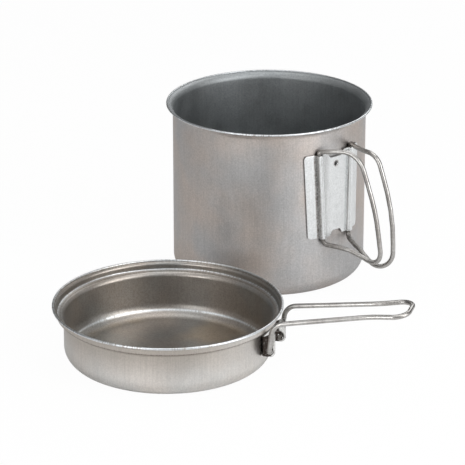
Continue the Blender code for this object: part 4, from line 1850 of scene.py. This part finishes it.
# ---- the pan's ear plate and handle ----------------------------------------------------------
@dataclass
class EarPlate(StampedPlate):
    """The U-shaped plate welded to the pan: a curved base and two ears with the pivot holes.

    Attributes:
        ear_standoff: how far the ears reach out from the wall.
        base_top: the height of the base's top edge.
        bottom_corner: the radius of the ears' lower corners.
        top_corner: the radius of the ears' upper corners.
        bend: the bend between the base and an ear.
        ear_place: how far the middle of an ear lies from the plate's middle.
        base_points: the points over the curved base.
        mean_height: the height that the rows of points are spaced for.
        steps: the longest stretch between two points along the plate and up it.
        hole_shade_width: how far the painted shade reaches from a hole's edge.
        bend_shade: how dark the shade painted in the bends is.
        bend_shade_width: how far it reaches.
        pivot_shade: how dark the shade painted round a pivot is.
        pivot_shade_radius: how far it reaches.
        pivot_shade_shift: how far its middle lies from the pivot, outwards and up.
        root_shade: how far the shade painted at an ear's root reaches out from the wall.
        shade_fade: the width of the edge of that painted shade.
        crease_side: how far outside an ear's middle the line on the wall lies that gets spots of painted
            shade.
        crease_heights: the heights of those spots.
        pivot: a place on the handle's pivot line.
        axis: the pivot line's direction.
    """

    wall_radius: float = 0.0675
    bottom: float = 0.0134
    top: float = 0.0310
    sheet: float = 0.0010
    hole_diameter: float = 0.0038
    ear_standoff: float = 0.0079
    base_top: float = 0.0271
    bottom_corner: float = 0.0035
    top_corner: float = 0.0020
    bend: float = 0.0013
    ear_place: float = 0.01285
    base_points: int = 33
    mean_height: float = 0.016
    steps: Pair = (0.00035, 0.0004)
    hole_shade_width: float = 0.0007
    bend_shade: float = 0.6
    bend_shade_width: float = 0.0012
    pivot_shade: float = 0.95
    pivot_shade_radius: float = 0.0044
    pivot_shade_shift: Pair = (-0.0012, 0.0004)
    root_shade: float = 0.0044
    shade_fade: float = 0.0012
    crease_side: float = 0.0006
    crease_heights: tuple[float, ...] = (0.0165, 0.0205, 0.0245)
    pivot: Floats = field(init=False)
    axis: Floats = field(init=False)

    def __post_init__(self) -> None:
        """Read where the handle's pivot line runs."""
        self.pivot, self.axis = joint_line("pan_handle_fold")

    @property
    def azimuth(self) -> float:
        """Return the direction from the pan's axis to the handle."""
        return math.atan2(-self.axis[0], self.axis[1])

    @property
    def base_radius(self) -> float:
        """Return the radius of the curved base, to the middle of its sheet."""
        return self.wall_radius + GAP + self.sheet / 2.0

    @property
    def ear_reach(self) -> float:
        """Return how far from the pan's axis the ears end."""
        return self.wall_radius + self.ear_standoff

    @property
    def pivot_reach(self) -> float:
        """Return how far from the pan's axis the pivot line lies."""
        return float(np.hypot(*(self.pivot - foot_centre("pan_body"))[:2]))

    def creases(self) -> tuple[Place, ...]:
        """Find the places down the line where each ear stands off the pan, which get spots of painted
        shade.

        Returns:
            The places.
        """
        side = self.ear_place + self.crease_side
        places = [(self.wall_radius, y, height) for y in (-side, side) for height in self.crease_heights]
        return tuple(tuple(place) for place in self.placed(np.array(places)).tolist())

    def placed(self, points: Floats) -> Floats:
        """Turn points round the pan's axis to the handle's side.

        Args:
            points: the points, given out along the handle, sideways and up.

        Returns:
            The points where they stand.
        """
        outward = polar(1.0, self.azimuth, 0.0)
        level = points[..., :1] * outward + points[..., 1:2] * self.axis
        return level + points[..., 2:] * UP + foot_centre("pan_body")

    def line(self) -> Floats:
        """Draw the middle of the sheet seen from above, from one ear's end to the other's.

        Returns:
            The points, given out along the handle and sideways.
        """
        half_angle = math.asin(self.ear_place / self.base_radius)
        angles = np.linspace(-half_angle, half_angle, self.base_points)
        arc = self.base_radius * np.stack([np.cos(angles), np.sin(angles)], axis=-1)
        tip = np.array([(self.ear_reach, -self.ear_place)])
        mirror = [1.0, -1.0]
        corners = np.concatenate([tip, arc, tip * mirror])
        bends = (self.bend, *[0.0] * (len(arc) - 2), self.bend)
        line = rounded_path(corners, bends, PLATE_TURN, self.steps[0])
        fine = self.ear_reach - edge_steps(self.edge_rounding)
        line = line[line[:, 0] < fine[-1] - CLOSE]
        end = np.stack([fine, np.full(len(fine), -self.ear_place)], axis=-1)
        return np.concatenate([end, line, end[::-1] * mirror])

    def painted_shade(self, middle: Floats) -> Floats:
        """Find where shade is painted: round the pivots, on the ears, at their roots and in the bends.

        Args:
            middle: the middle of the sheet, given out along the handle, sideways and up.

        Returns:
            A number for each point, from 0 to 1.
        """
        out, sideways, height = np.moveaxis(middle, -1, 0)
        from_pivot = np.stack([out - self.pivot_reach, height - self.pivot[2]])
        from_hole = np.hypot(*from_pivot) - self.hole_diameter / 2.0
        from_pivot_shade = np.hypot(*(from_pivot - np.reshape(self.pivot_shade_shift, (2, 1, 1))))
        from_ear = self.ear_place - np.abs(sideways)
        from_bend = np.hypot(from_ear, out - self.base_radius)
        on_ear = fading(self.shade_fade - from_ear, self.shade_fade)
        at_root = fading(self.wall_radius + self.root_shade - out, self.shade_fade)
        return np.max(
            [
                bump_at(from_hole, self.hole_shade_width),
                self.bend_shade * bump_at(from_bend, self.bend_shade_width),
                self.pivot_shade * on_ear * fading(self.pivot_shade_radius - from_pivot_shade, self.shade_fade),
                on_ear * at_root,
            ],
            axis=0,
        )

    def build(self, finish: StampedSteel) -> Piece:
        """Form the plate, thicken it and drill the pivot holes.

        Args:
            finish: its finish.

        Returns:
            The plate.
        """
        line = self.line()
        climb = (line[:, 0] - self.base_radius) / (self.ear_reach - self.base_radius)
        from_tip = self.ear_reach - line[:, 0]
        low = self.bottom + corner_relief(from_tip, self.bottom_corner)
        high = mixed(self.base_top, self.top, np.clip(climb, 0.0, 1.0))
        high = high - corner_relief(from_tip, self.top_corner)
        rises = end_steps(self.edge_rounding, self.mean_height, self.steps[1]) / self.mean_height
        height = low + (high - low) * rises[:, None]
        across = np.broadcast_to(line, (len(rises), *line.shape))
        middle = np.concatenate([across, height[..., None]], axis=-1)
        to_end = np.minimum(height - low, high - height)
        lengths = path_lengths(line)
        to_side = np.minimum(lengths, lengths[-1] - lengths)
        surface = self.thickened(self.placed(middle), to_side, to_end, self.painted_shade(middle))
        material = finish.material()
        piece = place_piece("pan_ear_plate", surface, material, Body.PAN, "pan_bracket")
        holes = [self.pivot + self.axis * self.ear_place * side for side in (-1.0, 1.0)]
        drilled(piece, holes, self.axis, self.hole_diameter)
        return piece


@dataclass
class PanHandle(BentWire):
    """The U-shaped wire handle, whose two ends turn in the ear plate's holes.

    Attributes:
        rim_radius: the radius to the outside of the pan's lip.
        pivot_width: its width at the pivot line, between the wires' middles.
        rim_width: its width where it passes the lip.
        waist_width: its width at its narrowest.
        end_width: its width at the far end.
        knee_setback: how far inside the lip's edge it bends.
        knee_height: the height of that bend.
        waist: the waist's reach from the pivot line, and its height.
        end: the far end's reach from the pivot line, and its height.
        bends: the bend radius of each corner of one half.
        pin_stick_out: how far its ends stick out inside the ears.
    """

    rim_radius: float = 0.0748
    pivot_width: float = 0.0305
    rim_width: float = 0.0317
    waist_width: float = 0.0221
    end_width: float = 0.0280
    knee_setback: float = 0.0004
    knee_height: float = 0.0371
    waist: Pair = (0.0648, 0.0480)
    end: Pair = (0.0881, 0.0515)
    bends: tuple[float, float, float, float] = (0.0019, 0.0095, 0.0600, 0.0087)
    pin_stick_out: float = 0.0016
    # painted shade on the wire from the first pivot along the leg
    hinge_shade: Pair = (1.0, 0.0)
    hinge_shade_reach: Pair = (0.025, 0.006)
    tail: float = 0.0
    end_rounding: float = 0.0004

    def build(self, ears: EarPlate, finish: DrawnWire) -> Piece:
        """Bend the wire between the two ears.

        Args:
            ears: the plate that holds it.
            finish: its finish.

        Returns:
            The handle.
        """
        reach = ears.pivot_reach
        height = float(ears.pivot[2])
        pin_end = ears.ear_place - ears.sheet / 2.0 - self.pin_stick_out
        half = np.array(
            [
                (reach, pin_end, height),
                (reach, self.pivot_width / 2.0, height),
                (self.rim_radius - self.knee_setback, self.rim_width / 2.0, self.knee_height),
                (reach + self.waist[0], self.waist_width / 2.0, self.waist[1]),
                (reach + self.end[0], self.end_width / 2.0, self.end[1]),
            ]
        )
        corners = np.concatenate([half, half[::-1] * [1.0, -1.0, 1.0]])
        path = rounded_path(corners, self.bends + self.bends[::-1], WIRE_TURN, WIRE_STEP)
        surface = self.swept(path, np.ones(3) / math.sqrt(3.0))
        surface = replace(surface, points=ears.placed(surface.points))
        material = finish.material()
        return place_piece("pan_handle_wire", surface, material, Body.PAN_GRIP, "pan_handle")


# ---- studio ----------------------------------------------------------------------------------
@dataclass(frozen=True)
class Lamp:
    """A soft rectangular lamp that looks at the object.

    Attributes:
        name: the lamp's name.
        azimuth: its direction from the object, in degrees from +X towards +Y.
        elevation: its angle over the floor, in degrees.
        distance: how far off it hangs.
        size: its width and height.
        power: its power in watts.
    """

    name: str
    azimuth: float
    elevation: float
    distance: float
    size: Pair
    power: float

    def build(self, target: Vector) -> None:
        """Hang the lamp so that it looks at a target.

        Args:
            target: the place it looks at.
        """
        data = bpy.data.lights.new(self.name, "AREA")
        data.shape = "RECTANGLE"
        data.size, data.size_y = self.size
        data.energy = self.power
        lamp = bpy.data.objects.new(self.name, data)
        bpy.context.scene.collection.objects.link(lamp)
        azimuth, elevation = math.radians(self.azimuth), math.radians(self.elevation)
        level = math.cos(elevation)
        outward = Vector((level * math.cos(azimuth), level * math.sin(azimuth), math.sin(elevation)))
        lamp.location = target + outward * self.distance
        lamp.rotation_euler = outward.to_track_quat("Z", "Y").to_euler()


LAMPS = (
    Lamp("overhead_lamp", 90.0, 88.0, 1.2, (1.0, 0.75), 5.0),
    Lamp("front_lamp", -90.0, 50.0, 1.1, (0.9, 0.5), 1.5),
    Lamp("right_low_lamp", -35.0, 10.0, 1.0, (0.5, 0.35), 3.5),
    Lamp("right_high_lamp", -40.0, 38.0, 1.0, (0.7, 0.5), 3.7),
    Lamp("left_low_lamp", -122.0, 10.0, 1.0, (0.35, 0.35), 2.4),
    Lamp("left_high_lamp", -145.0, 38.0, 1.0, (0.6, 0.5), 0.9),
    Lamp("back_lamp", 60.0, 38.0, 1.1, (0.6, 0.5), 2.4),
)


@dataclass
class Studio:
    """The floor, the light round the object and the camera.

    Attributes:
        lens: the camera's focal length, in millimetres.
        sensor: the width of its sensor, in millimetres.
        camera_pitch: how far it looks down.
        camera_distance: its distance from the place that it looks at.
        camera_aim: that place.
        camera_range: how far it sees.
        lamp_target: the place that the lamps look at.
        floor_size: the length of the floor's sides.
        floor_drop: how far the floor lies below the object's base.
        floor_colour: the floor's colour.
        floor_roughness: the floor's roughness.
        floor_white: the white of the floor's own that the camera sees, and that metal mirrors.
        world_light: the strength of the light from all round.
    """

    lens: float = 213.49
    sensor: float = 36.0
    camera_pitch: float = math.radians(21.302)
    camera_distance: float = 1.997496
    camera_aim: Place = (-0.025312, 0.059635, 0.0)
    camera_range: float = 20.0
    lamp_target: Place = (0.0, -0.06, 0.05)
    floor_size: float = 12.0
    floor_drop: float = 0.0001
    floor_colour: tuple[float, float, float, float] = (0.8, 0.8, 0.8, 1.0)
    floor_roughness: float = 0.9
    floor_white: Pair = (0.97, 0.12)
    world_light: float = 0.2

    def build(self) -> None:
        """Put up the floor, the world, the lamps and the camera."""
        self.build_floor()
        self.build_world()
        for lamp in LAMPS:
            lamp.build(Vector(self.lamp_target))
        self.build_camera()
        bpy.context.scene.view_settings.view_transform = "Standard"

    def build_floor(self) -> None:
        """Lay a pale floor that reads as white and keeps the object's soft shadow."""
        half = self.floor_size / 2.0
        corners = ((-half, -half), (half, -half), (half, half), (-half, half))
        mesh = bpy.data.meshes.new("floor")
        mesh.from_pydata([(x, y, -self.floor_drop) for x, y in corners], [], [(0, 1, 2, 3)])
        material = bpy.data.materials.new("pale_floor")
        material.use_nodes = True
        nodes = Nodes(material.node_tree)
        shader = nodes.tree.nodes["Principled BSDF"]
        shader.inputs["Base Color"].default_value = self.floor_colour
        shader.inputs["Roughness"].default_value = self.floor_roughness
        glow = nodes.step("Emission", "Emission", {"Color": WHITE, "Strength": 1.0})
        seen = nodes.seen_directly(*self.floor_white)
        nodes.show("Material Output", seen, shader.outputs["BSDF"], glow)
        mesh.materials.append(material)
        floor = bpy.data.objects.new("floor", mesh)
        bpy.context.scene.collection.objects.link(floor)

    def build_world(self) -> None:
        """Surround the object with soft white light, before a white that only the camera sees."""
        world = bpy.data.worlds.new("studio")
        bpy.context.scene.world = world
        world.use_nodes = True
        nodes = Nodes(world.node_tree)
        light = nodes.tree.nodes["Background"]
        light.inputs["Color"].default_value = WHITE
        light.inputs["Strength"].default_value = self.world_light
        white = nodes.step("Background", "Background", {"Color": WHITE, "Strength": 1.0})
        seen = nodes.step("LightPath", "Is Camera Ray", {})
        nodes.show("World Output", seen, light.outputs["Background"], white)

    def build_camera(self) -> None:
        """Set up the camera with its long lens."""
        data = bpy.data.cameras.new("camera")
        data.lens = self.lens
        data.sensor_width = self.sensor
        data.clip_end = self.camera_range
        camera = bpy.data.objects.new("camera", data)
        bpy.context.scene.collection.objects.link(camera)
        camera.location = (
            self.camera_aim[0],
            self.camera_aim[1] - self.camera_distance * math.cos(self.camera_pitch),
            self.camera_aim[2] + self.camera_distance * math.sin(self.camera_pitch),
        )
        camera.rotation_euler = (math.pi / 2.0 - self.camera_pitch, 0.0, 0.0)
        bpy.context.scene.camera = camera


def main() -> None:
    """Build the set piece by piece, and then the studio round it."""
    logging.basicConfig(level=logging.INFO, format="%(name)s: %(message)s")
    hinge_plate = HingePlate()
    # spots of painted shade on the pot's wall by the tunnels' mouths
    PotWall().vessel().build(replace(POT_TITANIUM, shade_spots=hinge_plate.mouths()))
    hinge_plate.build(POT_PLATE_STEEL)
    left_loop().build(hinge_plate, WIRE_STEEL)
    right_loop().build(hinge_plate, WIRE_STEEL)
    ears = EarPlate()
    # spots of painted shade on the pan's wall beside the ears
    PanWall().vessel().build(replace(PAN_TITANIUM, shade_spots=ears.creases()))
    ears.build(PAN_PLATE_STEEL)
    PanHandle().build(ears, WIRE_STEEL)
    Studio().build()


if __name__ == "__main__":
    main()
